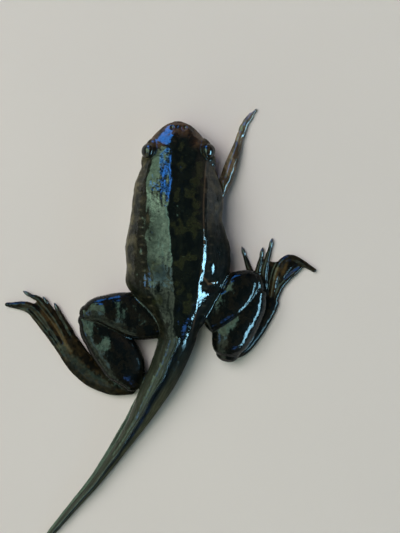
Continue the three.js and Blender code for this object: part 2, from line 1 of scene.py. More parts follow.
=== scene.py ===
# The looks of the african clawed frog: a wet froglet that still has its tadpole tail, lying on a
# pale floor and seen from straight above.
import math
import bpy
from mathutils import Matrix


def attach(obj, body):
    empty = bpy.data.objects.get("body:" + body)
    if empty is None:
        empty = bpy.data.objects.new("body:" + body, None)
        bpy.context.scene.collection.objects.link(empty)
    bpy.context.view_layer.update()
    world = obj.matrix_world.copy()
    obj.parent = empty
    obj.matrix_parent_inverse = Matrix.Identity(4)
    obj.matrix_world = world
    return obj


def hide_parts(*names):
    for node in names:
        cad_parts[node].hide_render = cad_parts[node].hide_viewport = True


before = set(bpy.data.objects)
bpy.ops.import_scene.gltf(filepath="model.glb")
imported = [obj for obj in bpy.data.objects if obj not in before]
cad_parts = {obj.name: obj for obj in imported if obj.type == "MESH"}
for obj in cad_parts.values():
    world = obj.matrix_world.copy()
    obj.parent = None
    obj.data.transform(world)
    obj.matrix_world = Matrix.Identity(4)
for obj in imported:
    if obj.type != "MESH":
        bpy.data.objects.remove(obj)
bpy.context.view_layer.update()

from types import SimpleNamespace as Sizes

import bpy
import numpy as np
from mathutils import Matrix, Vector
from mathutils.kdtree import KDTree

# Sizes are in millimetres, as in the solids, and scaled once the forms are done. A squareness of 2
# gives an ellipse. A pair that step_up takes is where a soft change begins and where it is complete
MM = 0.001
BODY = "root"
SIDES = {"left": -1, "right": 1}

CELL = 0.08  # the grain of the skin's mesh
THIN = 0.26  # the thickness of webs and fins
ROUNDING_STEPS = 8
ALMOST_POINTED = 0.999  # leaves the last ring of a rounded end a little open

EYE = Sizes(x=3.2, y=10.25, z=3.62, radius=0.82, dome=0.62, lift=0.18,
            out=math.radians(50), ahead=0.12)
LID = Sizes(ring=0.83, thick=0.07, lift=0.18, opening=(0.7, 0.79), floor=0.3)
MOUND = Sizes(rim=0.6, sunk=0.15, long=1.08)  # the skin that carries the lid
BROW = Sizes(radii=(1.1, 1.75, 1.0), inwards=0.5, back=0.25, sunk=0.7, tilt=0.6)
TEMPLE = Sizes(x=3.3, y=9.1, z=2.85, radii=(0.8, 1.2, 0.9))  # the swelling behind each eye
NOSTRIL = Sizes(x=0.72, y=12.85, radius=0.16, long=1.3, depth=0.2,
                rim=0.04, rim_radius=0.224, rim_width=0.09)
MOUTH = Sizes(corner=(8.6, 9.2), middle=11.77, level=2.05, rise=math.radians(3),
              width=0.08, depth=0.14, lip=0.04, lip_gap=0.24, lip_width=0.12,
              tip=(12.2, 13.2), tip_fade=0.85)
TOE = Sizes(width=(0.88, 0.46), height=(0.85, 0.64), taper=2.5, sunk=0.08, end=0.3)
JOINTS = Sizes(count=4, height=0.07, width=0.16, start=0.2)  # the knuckles of toes and fingers
WEB = Sizes(level=0.32, root=0.26, sag=0.05)  # the root lies higher than the free edge
FINGER = Sizes(spread=0.12, root=0.4, width=0.42, height=0.52, level=0.25,
               tip_width=0.28, tip_height=0.36, tip_level=0.2, bend=(0.4, 0.55))

# The trunk, from the snout tip back to the tail: place along Y, reach to the left and right,
# level of the back, level of the belly, and level of the widest point
TRUNK = [
    (13.56, 0.5, 0.5, 2.42, 2.06, 2.24), (13.38, 0.98, 0.96, 2.57, 1.93, 2.23),
    (13.1, 1.5, 1.45, 2.84, 1.7, 2.25), (12.5, 2.2, 2.1, 3.22, 1.48, 2.3), (11.5, 3.05, 2.95, 3.85, 1.3, 2.4),
    (10.2, 3.62, 3.62, 4.45, 1.2, 2.5), (8.6, 4.0, 4.0, 4.95, 1.1, 2.6),
    (6.8, 4.72, 4.65, 5.45, 0.8, 2.7), (4.9, 5.02, 5.0, 5.95, 0.2, 2.75),
    (2.6, 5.28, 4.9, 6.35, -0.25, 2.75), (0, 5.78, 5.66, 6.5, -0.35, 2.7),
    (-2.4, 5.68, 5.75, 6.45, -0.35, 2.65), (-4.4, 5.65, 5.2, 6.15, -0.3, 2.6),
    (-6.2, 4.1, 4.2, 5.7, -0.15, 2.5), (-8.2, 2.5, 2.85, 5.1, 0.1, 2.4),
    (-10.2, 2.0, 1.9, 4.4, 0.1, 2.3), (-11.8, 1.6, 0.9, 3.6, 0.5, 2.1),
]
TRUNK_MIDDLE = -0.05
TRUNK_SQUARE = 2.3
SNOUT_END = 0.08
THIGH_SQUARE = 2.8
SHANK_SQUARE = {"left": 2.8, "right": 2.25}
SHANK_LEAN = 0.07  # how much each shank's top falls off to the right

# The tail: place, width, height. It rests on a small flat, so it is sunk into the floor by a little
TAIL_SUNK = 0.12
TAIL = [
    (0.0, -8.4, 4.5, 4.9), (-0.2, -10.5, 4.05, 4.5), (-1.45, -13.8, 3.6, 3.7),
    (-3.05, -16.8, 3.05, 3.0), (-4.93, -20.18, 2.0, 2.1), (-7.3, -23.74, 1.3, 1.5),
    (-9.44, -26.62, 0.95, 1.15), (-11.7, -29.2, 0.75, 0.85), (-14.4, -32.38, 0.6, 0.62),
    (-17.6, -36.2, 0.34, 0.36),
]
TAIL_ROWS = np.array([(x, y, height / 2 - TAIL_SUNK, width / 2, width / 2, height / 2, height / 2, 2)
                      for x, y, width, height in TAIL])
# The fins span these shares of the tail's length
UPPER_FIN = Sizes(span=(0.08, 0.95), angle=math.radians(91), height=0.85, root=0.55,
                  wave=0.04, waves=40)
LOWER_FIN = Sizes(span=(0.36, 0.93), height=0.5, root=0.2, level=0.16)
FIN_OUTLINE = Sizes(start=0.02, rise=1.6, fall=0.4)

# The arms and legs as centre lines: place, width, height
ARMS = {
    "right": {
        "upper": [(3.3, 3.9, 2.0, 1.7, 1.7), (4.3, 5.6, 1.5, 1.6, 1.6), (5.25, 7.25, 1.05, 1.5, 1.45)],
        "fore": [(5.25, 7.25, 1.05, 1.5, 1.45), (5.85, 9.0, 0.85, 1.4, 1.3), (6.55, 11.1, 0.55, 0.95, 0.9)],
        "palm": [(6.55, 11.1, 0.5, 0.9, 0.85), (6.85, 12.3, 0.4, 0.75, 0.7)],
        "fingers": [(7.35, 13.7), (7.95, 14.6), (8.6, 15.05), (8.2, 14.3)],
    },
    "left": {
        "upper": [(-3.1, 4.4, 1.9, 1.7, 1.7), (-3.65, 5.7, 1.4, 1.55, 1.55), (-3.85, 6.8, 1.0, 1.4, 1.4)],
        "fore": [(-3.85, 6.8, 1.0, 1.4, 1.4), (-3.3, 8.15, 0.78, 1.25, 1.15), (-2.5, 9.4, 0.5, 0.95, 0.88)],
        "palm": [(-2.5, 9.4, 0.48, 0.92, 0.85), (-1.75, 10.35, 0.38, 0.95, 0.68)],
        "fingers": [(-2.0, 12.1), (-1.1, 12.35), (-0.3, 12.0), (-0.2, 10.9)],
    },
}
# Toes run from the innermost to the outermost. Each web between two of them is given as the share
# of the toes that it reaches, and how far its free edge is hollowed
LEGS = {
    "left": {
        "thigh": [(-2.4, -7.7, 2.0, 5.2, 3.4), (-4.4, -7.8, 2.0, 5.2, 3.5), (-6.7, -7.4, 2.05, 4.4, 3.5),
                  (-8.6, -7.2, 2.1, 3.2, 3.4), (-10.0, -7.6, 1.9, 2.1, 2.8)],
        "shank": [(-10.0, -8.1, 1.75, 2.3, 2.7), (-9.1, -9.4, 1.75, 3.7, 3.1), (-7.1, -11.7, 1.75, 4.8, 3.15),
                  (-5.8, -13.5, 1.6, 4.5, 2.9), (-4.9, -15.1, 1.2, 2.6, 2.1)],
        "sole": [(-5.3, -15.7, 0.65, 1.8, 1.4), (-7.4, -15.5, 0.6, 2.2, 1.3), (-9.5, -14.4, 0.5, 2.7, 1.1),
                 (-11.3, -12.6, 0.4, 2.9, 1.0), (-12.4, -10.9, 0.35, 2.7, 0.9)],
        "toes": [
            [(-11.2, -12.0), (-12.0, -9.8), (-13.3, -7.4)],
            [(-11.5, -12.2), (-12.8, -9.4), (-14.5, -6.65)],
            [(-11.8, -12.4), (-13.3, -8.9), (-15.3, -6.25), (-16.35, -5.65)],
            [(-12.1, -12.6), (-14.3, -9.1), (-16.3, -6.8), (-19.0, -6.6)],
            [(-12.3, -12.8), (-14.35, -9.95), (-16.7, -7.25)],
        ],
        "webs": [(1, 0.1), (0.9, 0.2), (0.72, 0.1), (0.95, 0.15)],
        "fringe": [(-14.4, -10.0), (-16.7, -7.6), (-18.9, -6.8)],
    },
    "right": {
        "thigh": [(2.7, -7.2, 2.0, 5.4, 3.3), (4.6, -6.3, 2.0, 5.6, 3.5), (6.3, -5.2, 2.0, 4.8, 3.5),
                  (7.6, -4.4, 1.9, 3.5, 3.3), (8.5, -4.2, 1.7, 2.4, 2.7)],
        "shank": [(8.6, -5.2, 1.8, 2.4, 2.6), (7.9, -6.6, 1.8, 3.7, 3.0), (6.4, -8.7, 1.8, 4.7, 3.05),
                  (5.6, -10.8, 1.65, 4.0, 2.9), (5.4, -12.0, 1.25, 2.6, 2.1)],
        "sole": [(5.6, -12.0, 0.65, 1.6, 1.4), (6.9, -11.3, 0.6, 2.0, 1.3), (8.3, -9.5, 0.5, 2.2, 1.1),
                 (9.5, -7.4, 0.4, 2.3, 1.0), (10.1, -6.0, 0.35, 2.3, 0.9)],
        "toes": [
            [(9.2, -7.0), (8.2, -3.8), (7.35, -1.2)],
            [(9.5, -6.9), (8.75, -3.8), (9.15, -1.35)],
            [(9.8, -6.8), (9.45, -3.4), (10.15, -0.3)],
            [(10.1, -6.8), (11.0, -2.7), (12.5, -1.4), (15.0, -2.75)],
            [(10.3, -6.9), (11.4, -4.4), (13.4, -2.6)],
        ],
        "webs": [(0.8, 0.5), (0.9, 0.3), (0.8, 0.4), (0.92, 0.05)],
        "fringe": [(11.2, -4.2), (12.9, -2.2), (14.9, -2.8)],
    },
}

# The fold of skin from the flank to the tail, which laps over the root of each thigh
HIP_FOLDS = {
    "left": [(-4.9, -3.0, 3.0, 1.1, 1.1), (-4.2, -5.0, 3.25, 1.5, 1.5), (-3.4, -6.1, 3.3, 1.5, 1.5),
             (-2.2, -7.5, 3.3, 1.4, 1.5), (-1.5, -9.3, 3.0, 1.2, 1.6)],
    "right": [(5.0, -1.4, 3.0, 1.1, 1.1), (4.4, -3.2, 3.3, 1.5, 1.5), (3.6, -5.2, 3.4, 1.5, 1.5),
              (3.0, -6.9, 3.3, 1.4, 1.5), (1.9, -8.8, 3.0, 1.2, 1.6)],
}

# Forms

PARTS = ["trunk", "tail", "fin", "arm", "hand", "thigh", "shank", "foot", "toe", "web", "lid"]


def joined(forms):
    """The points and faces of all forms, and for each point its part and its place along it."""
    points, faces, parts, along, count = [], [], [], [], 0
    for part, (its_points, its_faces, its_along) in forms:
        points.append(its_points)
        faces.extend(tuple(int(i) + count for i in face) for face in its_faces)
        parts.append(np.full(len(its_points), PARTS.index(part)))
        along.append(its_along)
        count += len(its_points)
    return np.concatenate(points), faces, np.concatenate(parts), np.concatenate(along)


def between(ends, share):
    return ends[0] + (ends[1] - ends[0]) * share


def curve(rows, t):
    """The smooth curve through the rows at each share t of its length, as the solids draw it."""
    rows = np.asarray(rows, float)
    rows = np.vstack([2 * rows[0] - rows[1], rows, 2 * rows[-1] - rows[-2]])
    spans = len(rows) - 3
    place = np.clip(np.asarray(t, float) * spans, 0, spans - 1e-9)
    first = place.astype(int)
    w = (place - first)[..., None]
    a, b, c, d = (rows[first + i] for i in range(4))
    return 0.5 * (2 * b + (c - a) * w + (2 * a - 5 * b + 4 * c - d) * w ** 2
                  + (3 * b - a - 3 * c + d) * w ** 3)


def axes(line, t):
    """Centre, and the directions out, up and along a centre line."""
    step = 1e-4
    along = curve(line, np.minimum(t + step, 1)) - curve(line, np.maximum(t - step, 0))
    along /= np.linalg.norm(along, axis=-1, keepdims=True)
    out = np.cross(along, (0, 0, 1))
    out /= np.linalg.norm(out, axis=-1, keepdims=True)
    return curve(line, t), out, np.cross(out, along), along


def tube_faces(rings, sides):
    """Quads between rings of points, and a face over each end."""
    ring = np.arange(rings - 1)[:, None] * sides
    i = np.arange(sides)[None, :]
    j = (i + 1) % sides
    quads = np.stack([ring + i, ring + sides + i, ring + sides + j, ring + j], -1).reshape(-1, 4)
    last = (rings - 1) * sides
    return [*quads, range(sides), range(last + sides - 1, last - 1, -1)]


def loft(rows, steps, sides, start=0.0, end=0.0, swell=None):
    """A closed tube of rings. A row is x, y, z, left, right, up, down and squareness."""
    rows = np.asarray(rows, float)
    turns = np.linspace(0, math.pi / 2, ROUNDING_STEPS + 1)[1:]
    shrunk = [math.cos(turn * ALMOST_POINTED) for turn in turns]
    rings = [(0, size, -start * math.sin(turn)) for size, turn in zip(shrunk[::-1], turns[::-1]) if start]
    rings += [(k / steps, 1, 0) for k in range(steps + 1)]
    rings += [(1, size, end * math.sin(turn)) for size, turn in zip(shrunk, turns) if end]
    t, shrink, shift = (np.array(column, float) for column in zip(*rings))
    centre, out, up, along = axes(rows[:, :3], t)
    reach = curve(rows[:, 3:], t)
    angle = np.arange(sides) * 2 * math.pi / sides
    cosine, sine = np.cos(angle)[None, :], np.sin(angle)[None, :]
    power = 2 / reach[:, 4:5]
    x = np.sign(cosine) * np.abs(cosine) ** power * np.where(cosine > 0, reach[:, 1:2], reach[:, 0:1])
    z = np.sign(sine) * np.abs(sine) ** power * np.where(sine > 0, reach[:, 2:3], reach[:, 3:4])
    if swell is not None:
        size = 1 + swell(t[:, None], angle[None, :])
        x, z = x * size, z * size
    middle = centre + along * shift[:, None]
    points = (middle[:, None, :] + (x * shrink[:, None])[..., None] * out[:, None, :]
              + (z * shrink[:, None])[..., None] * up[:, None, :])
    return points.reshape(-1, 3), tube_faces(len(rings), sides), np.repeat(t, sides)


def limb(rows, square=2):
    return [(x, y, z, width / 2, width / 2, height / 2, height / 2, square)
            for x, y, z, width, height in rows]


def sheet(place, long, wide, thickness):
    """A thin closed sheet over a grid of places."""
    u, v = np.meshgrid(np.linspace(0, 1, long + 1), np.linspace(0, 1, wide + 1), indexing="ij")
    grid = place(u, v)
    normal = np.cross(np.gradient(grid, axis=0), np.gradient(grid, axis=1))
    normal /= np.linalg.norm(normal, axis=-1, keepdims=True) + 1e-12
    top, under = grid + normal * thickness / 2, grid - normal * thickness / 2
    points = np.concatenate([top.reshape(-1, 3), under.reshape(-1, 3)])
    number = np.arange((long + 1) * (wide + 1)).reshape(long + 1, wide + 1)
    a, b, c, d = number[:-1, :-1], number[1:, :-1], number[1:, 1:], number[:-1, 1:]
    quads = np.stack([a, b, c, d], -1).reshape(-1, 4)
    lower = quads[:, ::-1] + number.size
    rim = np.concatenate([number[:, 0], number[-1, 1:], number[-2::-1, -1], number[0, -2::-1]])
    walls = np.stack([rim[1:], rim[:-1], rim[:-1] + number.size, rim[1:] + number.size], -1)
    return points, [*quads, *lower, *walls], np.tile(u.reshape(-1), 2)


def ellipsoid(centre, radii, turn, detail=32):
    """A closed ball stretched to three radii, then turned by a matrix."""
    pole = 0.02
    angle = np.linspace(pole, math.pi - pole, detail)
    round_ = np.arange(detail * 2) * math.pi / detail
    ring = np.sin(angle)[:, None]
    points = np.stack([ring * np.cos(round_), ring * np.sin(round_),
                       np.repeat(np.cos(angle)[:, None], detail * 2, 1)], -1).reshape(-1, 3)
    points = (points * radii) @ np.asarray(turn).T + centre
    return points, tube_faces(detail, detail * 2), np.zeros(len(points))


def eye_axis(side):
    axis = np.array([side * math.sin(EYE.out), EYE.ahead, math.cos(EYE.out)])
    return axis / np.linalg.norm(axis)


def eye_centre(side):
    return np.array([side * EYE.x, EYE.y, EYE.z])


def lid_ring(side):
    """The thin rim of skin round the eye."""
    axis = eye_axis(side)
    first = np.cross(axis, (0, 1, 0))
    first /= np.linalg.norm(first)
    second = np.cross(axis, first)
    long, round_ = 72, 20
    big, small = (np.arange(n) * 2 * math.pi / n for n in (long, round_))
    out = np.cos(big)[:, None] * first + np.sin(big)[:, None] * second
    centre = eye_centre(side) + axis * LID.lift + out * LID.ring
    points = (centre[:, None, :] + LID.thick * (np.cos(small)[None, :, None] * out[:, None, :]
              + np.sin(small)[None, :, None] * axis))
    ring, i = np.meshgrid(np.arange(long), np.arange(round_), indexing="ij")
    first, after, j = ring * round_, (ring + 1) % long * round_, (i + 1) % round_
    quads = np.stack([first + i, first + j, after + j, after + i], -1).reshape(-1, 4)
    return points.reshape(-1, 3), [*quads], np.zeros(long * round_)


def turn_about(axis, angle):
    return np.array(Matrix.Rotation(angle, 3, axis))


def trunk_rows():
    rows = [(TRUNK_MIDDLE, y, widest, left, right, top - widest, widest - bottom, TRUNK_SQUARE)
            for y, left, right, top, bottom, widest in TRUNK]
    return rows[::-1]


def beside_tail(t, reach, angle):
    """A point beside the tail's centre line, out by a reach at an angle above level."""
    centre, out, up, _ = axes(TAIL_ROWS[:, :3], t)
    return centre + out * (np.cos(angle) * reach)[..., None] + up * (np.sin(angle) * reach)[..., None]


def fin_height(fin, u):
    rise = np.minimum(u * FIN_OUTLINE.rise + FIN_OUTLINE.start, 0.5)
    return fin.height * np.sin(math.pi * rise) * (1 - u) ** FIN_OUTLINE.fall


def upper_fin(u, v):
    t = between(UPPER_FIN.span, u)
    core = curve(TAIL_ROWS[:, 5:6], t)[..., 0]
    root = core * UPPER_FIN.root
    wave = UPPER_FIN.wave * np.sin(u * UPPER_FIN.waves) * v
    return beside_tail(t, root + (core + fin_height(UPPER_FIN, u) - root) * v, UPPER_FIN.angle + wave)


def lower_fin(u, v):
    t = between(LOWER_FIN.span, u)
    core = curve(TAIL_ROWS[:, 3:4], t)[..., 0]
    inner = beside_tail(t, core * LOWER_FIN.root, 0 * u)
    outer = beside_tail(t, core + fin_height(LOWER_FIN, u), 0 * u)
    point = inner + (outer - inner) * v[..., None]
    point[..., 2] = LOWER_FIN.level
    return point


def toe_rows(points):
    last = len(points) - 1
    rows = []
    for i, (x, y) in enumerate(points):
        width = between(TOE.width, (i / last) ** TOE.taper)
        root, tip = TOE.height
        height = root + (tip - root) * i / last
        rows.append((x, y, height / 2 - TOE.sunk, width, height))
    return rows


def toe_joints(t, angle):
    """The low swellings where a toe's bones meet, the same all round."""
    swelling = bell(np.mod(t * JOINTS.count, 1) - 0.5, JOINTS.width)
    return JOINTS.height * swelling * (t > JOINTS.start) + 0 * angle


def web(first, second, share, hollow):
    """The places of the skin between two toes, out to a share of their length."""
    def place(u, v):
        reach = u * (share - hollow * v * (1 - v))
        a, b = curve(first, reach), curve(second, reach)
        point = np.empty(u.shape + (3,))
        point[..., :2] = a + (b - a) * v[..., None]
        point[..., 2] = WEB.level + WEB.root * (1 - u) ** 2 - WEB.sag * np.sin(math.pi * v)
        return point
    return place


def finger_rows(palm, tip, i):
    base_x, base_y, base_z = palm[1][:3]
    root_x = base_x + (i - 1.5) * FINGER.spread
    bend_x, bend_y = FINGER.bend
    middle = (root_x + (tip[0] - root_x) * bend_x, base_y + (tip[1] - base_y) * bend_y)
    return [
        (root_x, base_y - FINGER.root, base_z, FINGER.width, FINGER.height),
        (*middle, FINGER.level, FINGER.width, FINGER.height),
        (tip[0], tip[1], FINGER.tip_level, FINGER.tip_width, FINGER.tip_height),
    ]


def head_forms(side):
    """Brow, temple, the mound that carries the eye, and its rim."""
    brow_centre = eye_centre(side) - (side * BROW.inwards, BROW.back, BROW.sunk)
    yield "trunk", ellipsoid(brow_centre, BROW.radii, turn_about("Y", side * BROW.tilt))
    temple = (side * TEMPLE.x, TEMPLE.y, TEMPLE.z)
    yield "trunk", ellipsoid(temple, TEMPLE.radii, np.eye(3))
    rim = LID.ring + LID.thick * MOUND.rim
    mound = eye_centre(side) - eye_axis(side) * MOUND.sunk
    yield "trunk", ellipsoid(mound, (rim, rim * MOUND.long, rim), np.eye(3))
    yield "lid", lid_ring(side)


def arm_forms(arm):
    yield "arm", loft(limb(arm["upper"]), 40, 40, start=0.6, end=0.6)
    yield "arm", loft(limb(arm["fore"]), 40, 40, start=0.6, end=0.3)
    yield "hand", loft(limb(arm["palm"]), 20, 32, start=0.3, end=0.3)
    for i, tip in enumerate(arm["fingers"]):
        rows = finger_rows(arm["palm"], tip, i)
        yield "hand", loft(limb(rows), 30, 24, end=FINGER.tip_width / 2, swell=toe_joints)


def leg_forms(leg, shank_square):
    yield "thigh", loft(limb(leg["thigh"], THIGH_SQUARE), 60, 64, start=0.6, end=0.9)
    points, faces, along = loft(limb(leg["shank"], shank_square), 60, 64, start=0.9, end=0.9)
    points[:, 2] -= SHANK_LEAN * (points[:, 0] - curve(leg["shank"], along)[:, 0])
    yield "shank", (points, faces, along)
    yield "foot", loft(limb(leg["sole"]), 60, 48, start=0.7, end=0.4)
    for points in leg["toes"]:
        yield "toe", loft(limb(toe_rows(points)), 60, 24, end=TOE.end, swell=toe_joints)
    for first, second, reach in zip(leg["toes"], leg["toes"][1:], leg["webs"]):
        yield "web", sheet(web(first, second, *reach), 40, 12, THIN)
    yield "web", sheet(web(leg["toes"][3][1:], leg["fringe"], 1, 0), 40, 12, THIN)


def flesh():
    """Every form of the body under one skin."""
    yield "trunk", loft(trunk_rows(), 240, 160, end=SNOUT_END)
    yield "tail", loft(TAIL_ROWS, 240, 64, end=0.5)
    for fin, place, long, wide in ((UPPER_FIN, upper_fin, 160, 16), (LOWER_FIN, lower_fin, 120, 10)):
        points, faces, u = sheet(place, long, wide, THIN)
        yield "fin", (points, faces, between(fin.span, u))
    for name, side in SIDES.items():
        yield from head_forms(side)
        yield from arm_forms(ARMS[name])
        yield "trunk", loft(limb(HIP_FOLDS[name]), 60, 32, start=0.5, end=0.5)
        yield from leg_forms(LEGS[name], SHANK_SQUARE[name])


# The skin as arrays

def placed(name, data):
    """A new object in the scene."""
    piece = bpy.data.objects.new(name, data)
    bpy.context.scene.collection.objects.link(piece)
    return piece


def mesh_object(name, points, faces):
    mesh = bpy.data.meshes.new(name)
    mesh.from_pydata([tuple(p) for p in points], [], [tuple(int(i) for i in f) for f in faces])
    return placed(name, mesh)


def note(mesh, name, values):
    """Keeps a value for each point of a mesh as an attribute."""
    mesh.attributes.new(name, "FLOAT", "POINT").data.foreach_set("value", values.astype(np.float32))


def drawn_over(points, faces):
    """One closed surface round all the forms, in cells of one size."""
    rough = mesh_object("rough", points, faces)
    remesh = rough.modifiers.new("skin", "REMESH")
    remesh.mode = "VOXEL"
    remesh.voxel_size = CELL
    evaluated = rough.evaluated_get(bpy.context.evaluated_depsgraph_get())
    mesh = bpy.data.meshes.new_from_object(evaluated)
    bpy.data.objects.remove(rough)
    return mesh


def array_of(collection, attribute, width, kind=float):
    values = np.zeros(len(collection) * width, kind)
    collection.foreach_get(attribute, values)
    return values.reshape(-1, width) if width > 1 else values


def of_neighbours(values, edges, count):
    """The mean of each point's neighbours."""
    a, b = edges.T
    share = np.maximum(np.bincount(a, minlength=count) + np.bincount(b, minlength=count), 1)
    return (np.bincount(a, values[b], count) + np.bincount(b, values[a], count)) / share


def spread(values, edges, count, passes):
    """Evens out values between neighbouring points."""
    for _ in range(passes):
        values = 0.5 * values + 0.5 * of_neighbours(values, edges, count)
    return values


def relax(points, edges, weight, passes):
    """Smooths the surface without shrinking it: each step in is followed by one out."""
    step_in, step_out = 0.5, -0.53
    for _ in range(passes):
        for step in (step_in, step_out):
            means = [of_neighbours(points[:, i], edges, len(points)) for i in range(3)]
            points = points + (np.stack(means, -1) - points) * (weight * step)[:, None]
    return points


def normals_of(points, quads):
    """Area-weighted normals at the points."""
    a, b, c, d = (points[quads[:, i]] for i in range(4))
    face = np.cross(c - a, d - b)
    normal = np.stack([
        sum(np.bincount(quads[:, i], face[:, k], len(points)) for i in range(4)) for k in range(3)], -1)
    return normal / (np.linalg.norm(normal, axis=1, keepdims=True) + 1e-12)


def field(points, size, wavelength, seed, waves=28):
    """A smooth random field of about -size to size, made of sine waves in random directions."""
    draw = np.random.default_rng(seed)
    way = draw.normal(size=(waves, 3))
    way *= (2 * math.pi / wavelength) / np.linalg.norm(way, axis=1, keepdims=True)
    way *= draw.uniform(0.6, 1.4, (waves, 1))
    phase = draw.uniform(0, 2 * math.pi, waves)
    return size * np.sin(points @ way.T + phase).sum(1) / math.sqrt(waves)


def step_up(low, high, values):
    share = np.clip((values - low) / (high - low), 0, 1)
    return share * share * (3 - 2 * share)


def bell(values, width):
    return np.exp(-(values / width) ** 2)


# The form of the skin

# How far the skin has to face up for each kind of relief or mark, from none of it to all of it
FACING = Sizes(back=(0.1, 0.6), side=(-0.1, 0.85), stitch=(-0.2, 0.3), wall=(0.35, 0.8),
               flank=(0.3, 0.8), belly=(-0.75, -0.15), dots=(-0.3, 0.2), olive=(0.5, 0.8),
               crest=(0.3, 0.6), snout=(0.74, 0.93), cheeks=(0.8, 1.0))
# Random variation is given by its size, wavelength and seed
RIPPLES = [(0.014, 2.6, 11), (0.005, 0.9, 12), (0.0025, 0.36, 13)]
FINE_LINES = (0.0035, 0.45, 16)
WRINKLES = Sizes(field=(0.018, 1.3, 14), stretch=(0.5, 1.5, 0.35), head=(8, 10))
MUSCLE = Sizes(field=(0.035, 2.4, 15), stretch=(1, 1, 0.6), ends=2.2)
CHEVRONS = Sizes(count=34, lean=0.7, depth=0.01, width=0.12, end=(0.5, 0.75))
# The streaks are drawn out along the body, and are finer along the tail
STREAKS = Sizes(stretch=(1, 0.14, 1), tail_stretch=1.6, tail_fineness=0.28)

# The fold along each side of the back in plan, from behind the eye to the root of the tail
RIGHT_FOLD = [(3.35, 9.6), (3.05, 9.0), (2.95, 7.9), (2.85, 6.3), (2.8, 5.4), (2.75, 4.1), (2.75, 3.2),
              (2.8, 1.6), (2.82, 0), (2.7, -1.6), (2.5, -3.0), (2.2, -4.6), (2.0, -7.2), (1.5, -9.4)]
LEFT_FOLD = [(-3.35, 9.4), (-3.4, 7.6), (-3.35, 6.3), (-3.4, 4.2), (-3.3, 1.6), (-3.15, -1.4),
             (-2.7, -4.4), (-2.1, -7.0), (-1.5, -9.5)]
SPINE = [(-0.4, 13.0), (-0.7, 10.0), (-0.85, 8.4), (-0.7, 6.8), (-1.0, 5.0), (-1.3, 4.1), (-1.2, 3.2),
         (-0.9, 1.4), (-0.65, -0.6), (-0.5, -1.7), (-0.65, -3.9), (-0.3, -6.0), (-0.5, -8.3), (-0.8, -9.6)]
LINE_ENDS = Sizes(rear=(-0.3, 0.9), front=(-0.9, 0.2))  # how softly these lines end
# The fold on the right: how far it falls off towards the spine and to the flank, and its height
CREST = Sizes(inner=0.95, outer=0.4, height=0.05)
SOFT_FOLD = Sizes(width=0.5, height=0.05, sway=0.1, sway_rate=2.1)  # the fold on the left
ROOF = Sizes(width=0.6, height=0.1, sway=(0.07, 1.3, 17))  # over the spine
# How steeply the side falls away below each fold, as pairs of distance and slope
FLANK_FALL = Sizes(
    front=[(-0.1, 0), (0, 0.27), (0.32, 0.15), (0.55, 0.5), (2.2, 0)],
    rear=[(-0.2, 0), (0, 0.1), (0.4, 0)],
    left=[(-0.1, 0), (0.3, 0.1), (1.6, 0)],
)
FALL_CHANGES = (-5.6, -4.6)  # where the right side goes over from its rear slopes to its front ones
STITCH = Sizes(along=0.1, across=0.2, space=0.95, height=0.012)
# The rows of dashes: the fold that each follows, and how far beside it
STITCH_ROWS = [(RIGHT_FOLD, 0.75), (LEFT_FOLD, -0.75)]
# Shallow pits and bumps of the back: place, half length across and along the body, height
BACK_SPOTS = [
    (-3.5, 3.0, 0.6, 1.5, -0.14), (-3.05, 1.0, 0.5, 0.5, -0.1), (-3.0, -4.8, 0.9, 0.7, 0.14),
    (2.8, -3.0, 0.35, 0.4, 0.06), (4.4, -2.75, 0.55, 1.0, 0.13),
    (3.4, -4.25, 0.9, 0.14, -0.14), (-1.9, 8.2, 0.6, 0.9, 0.04), (-1.4, 10.8, 0.5, 0.7, 0.05),
    (2.15, 10.3, 0.5, 1.1, 0.14), (-3.9, -0.8, 0.3, 0.4, -0.05), (-4.4, -3.2, 0.25, 0.4, -0.05),
]


def plan_distance(points, line):
    """Signed distance in X from a line across the plan, and a mask for the stretch that it covers."""
    line = np.array(line)[::-1]
    x = np.interp(points[:, 1], line[:, 1], line[:, 0])
    inside = step_up(*LINE_ENDS.rear, points[:, 1] - line[0, 1])
    inside *= 1 - step_up(*LINE_ENDS.front, points[:, 1] - line[-1, 1])
    return points[:, 0] - x, inside


def stitches(points, line, shift):
    """The row of short raised dashes that an african clawed frog carries beside its folds."""
    offset, inside = plan_distance(points, line)
    phase = np.mod(points[:, 1] / STITCH.space + 0.5, 1) - 0.5
    along = phase * STITCH.space
    return bell(along, STITCH.along) * bell(offset - shift, STITCH.across) * inside


def tail_frame(points, along):
    """How far across the tail and above its middle each point lies."""
    centre, out, up, _ = axes(TAIL_ROWS[:, :3], np.clip(along, 0, 1))
    return ((points - centre) * out).sum(1), ((points - centre) * up).sum(1)


def streaks(points, zone, size, wavelength, seed):
    """Fine lines along the body, and along the tail where it bends."""
    across, above = tail_frame(points, zone["along"])
    body = field(points * STREAKS.stretch, size, wavelength, seed)
    unrolled = np.stack([across, zone["along"] * STREAKS.tail_stretch, above], -1)
    tail = field(unrolled, size, wavelength * STREAKS.tail_fineness, seed)
    return body + np.clip(zone["tail"] + zone["fin"], 0, 1) * (tail - body)


def fallen(beyond, slopes):
    """How far the side lies below the fold, from its slope at each distance."""
    distance = np.linspace(slopes[0][0], slopes[-1][0], 200)
    slope = np.interp(distance, *zip(*slopes))
    depth = np.cumsum(slope) * (distance[1] - distance[0])
    return np.interp(beyond, distance, depth)


def right_fold(points, up, side):
    """A crisp crest, and the flank's fall beyond it."""
    offset, inside = plan_distance(points, RIGHT_FOLD)
    crest = CREST.height * bell(offset, np.where(offset < 0, CREST.inner, CREST.outer))
    slopes = (fallen(offset, FLANK_FALL.rear), fallen(offset, FLANK_FALL.front))
    return (crest * up - between(slopes, step_up(*FALL_CHANGES, points[:, 1])) * side) * inside


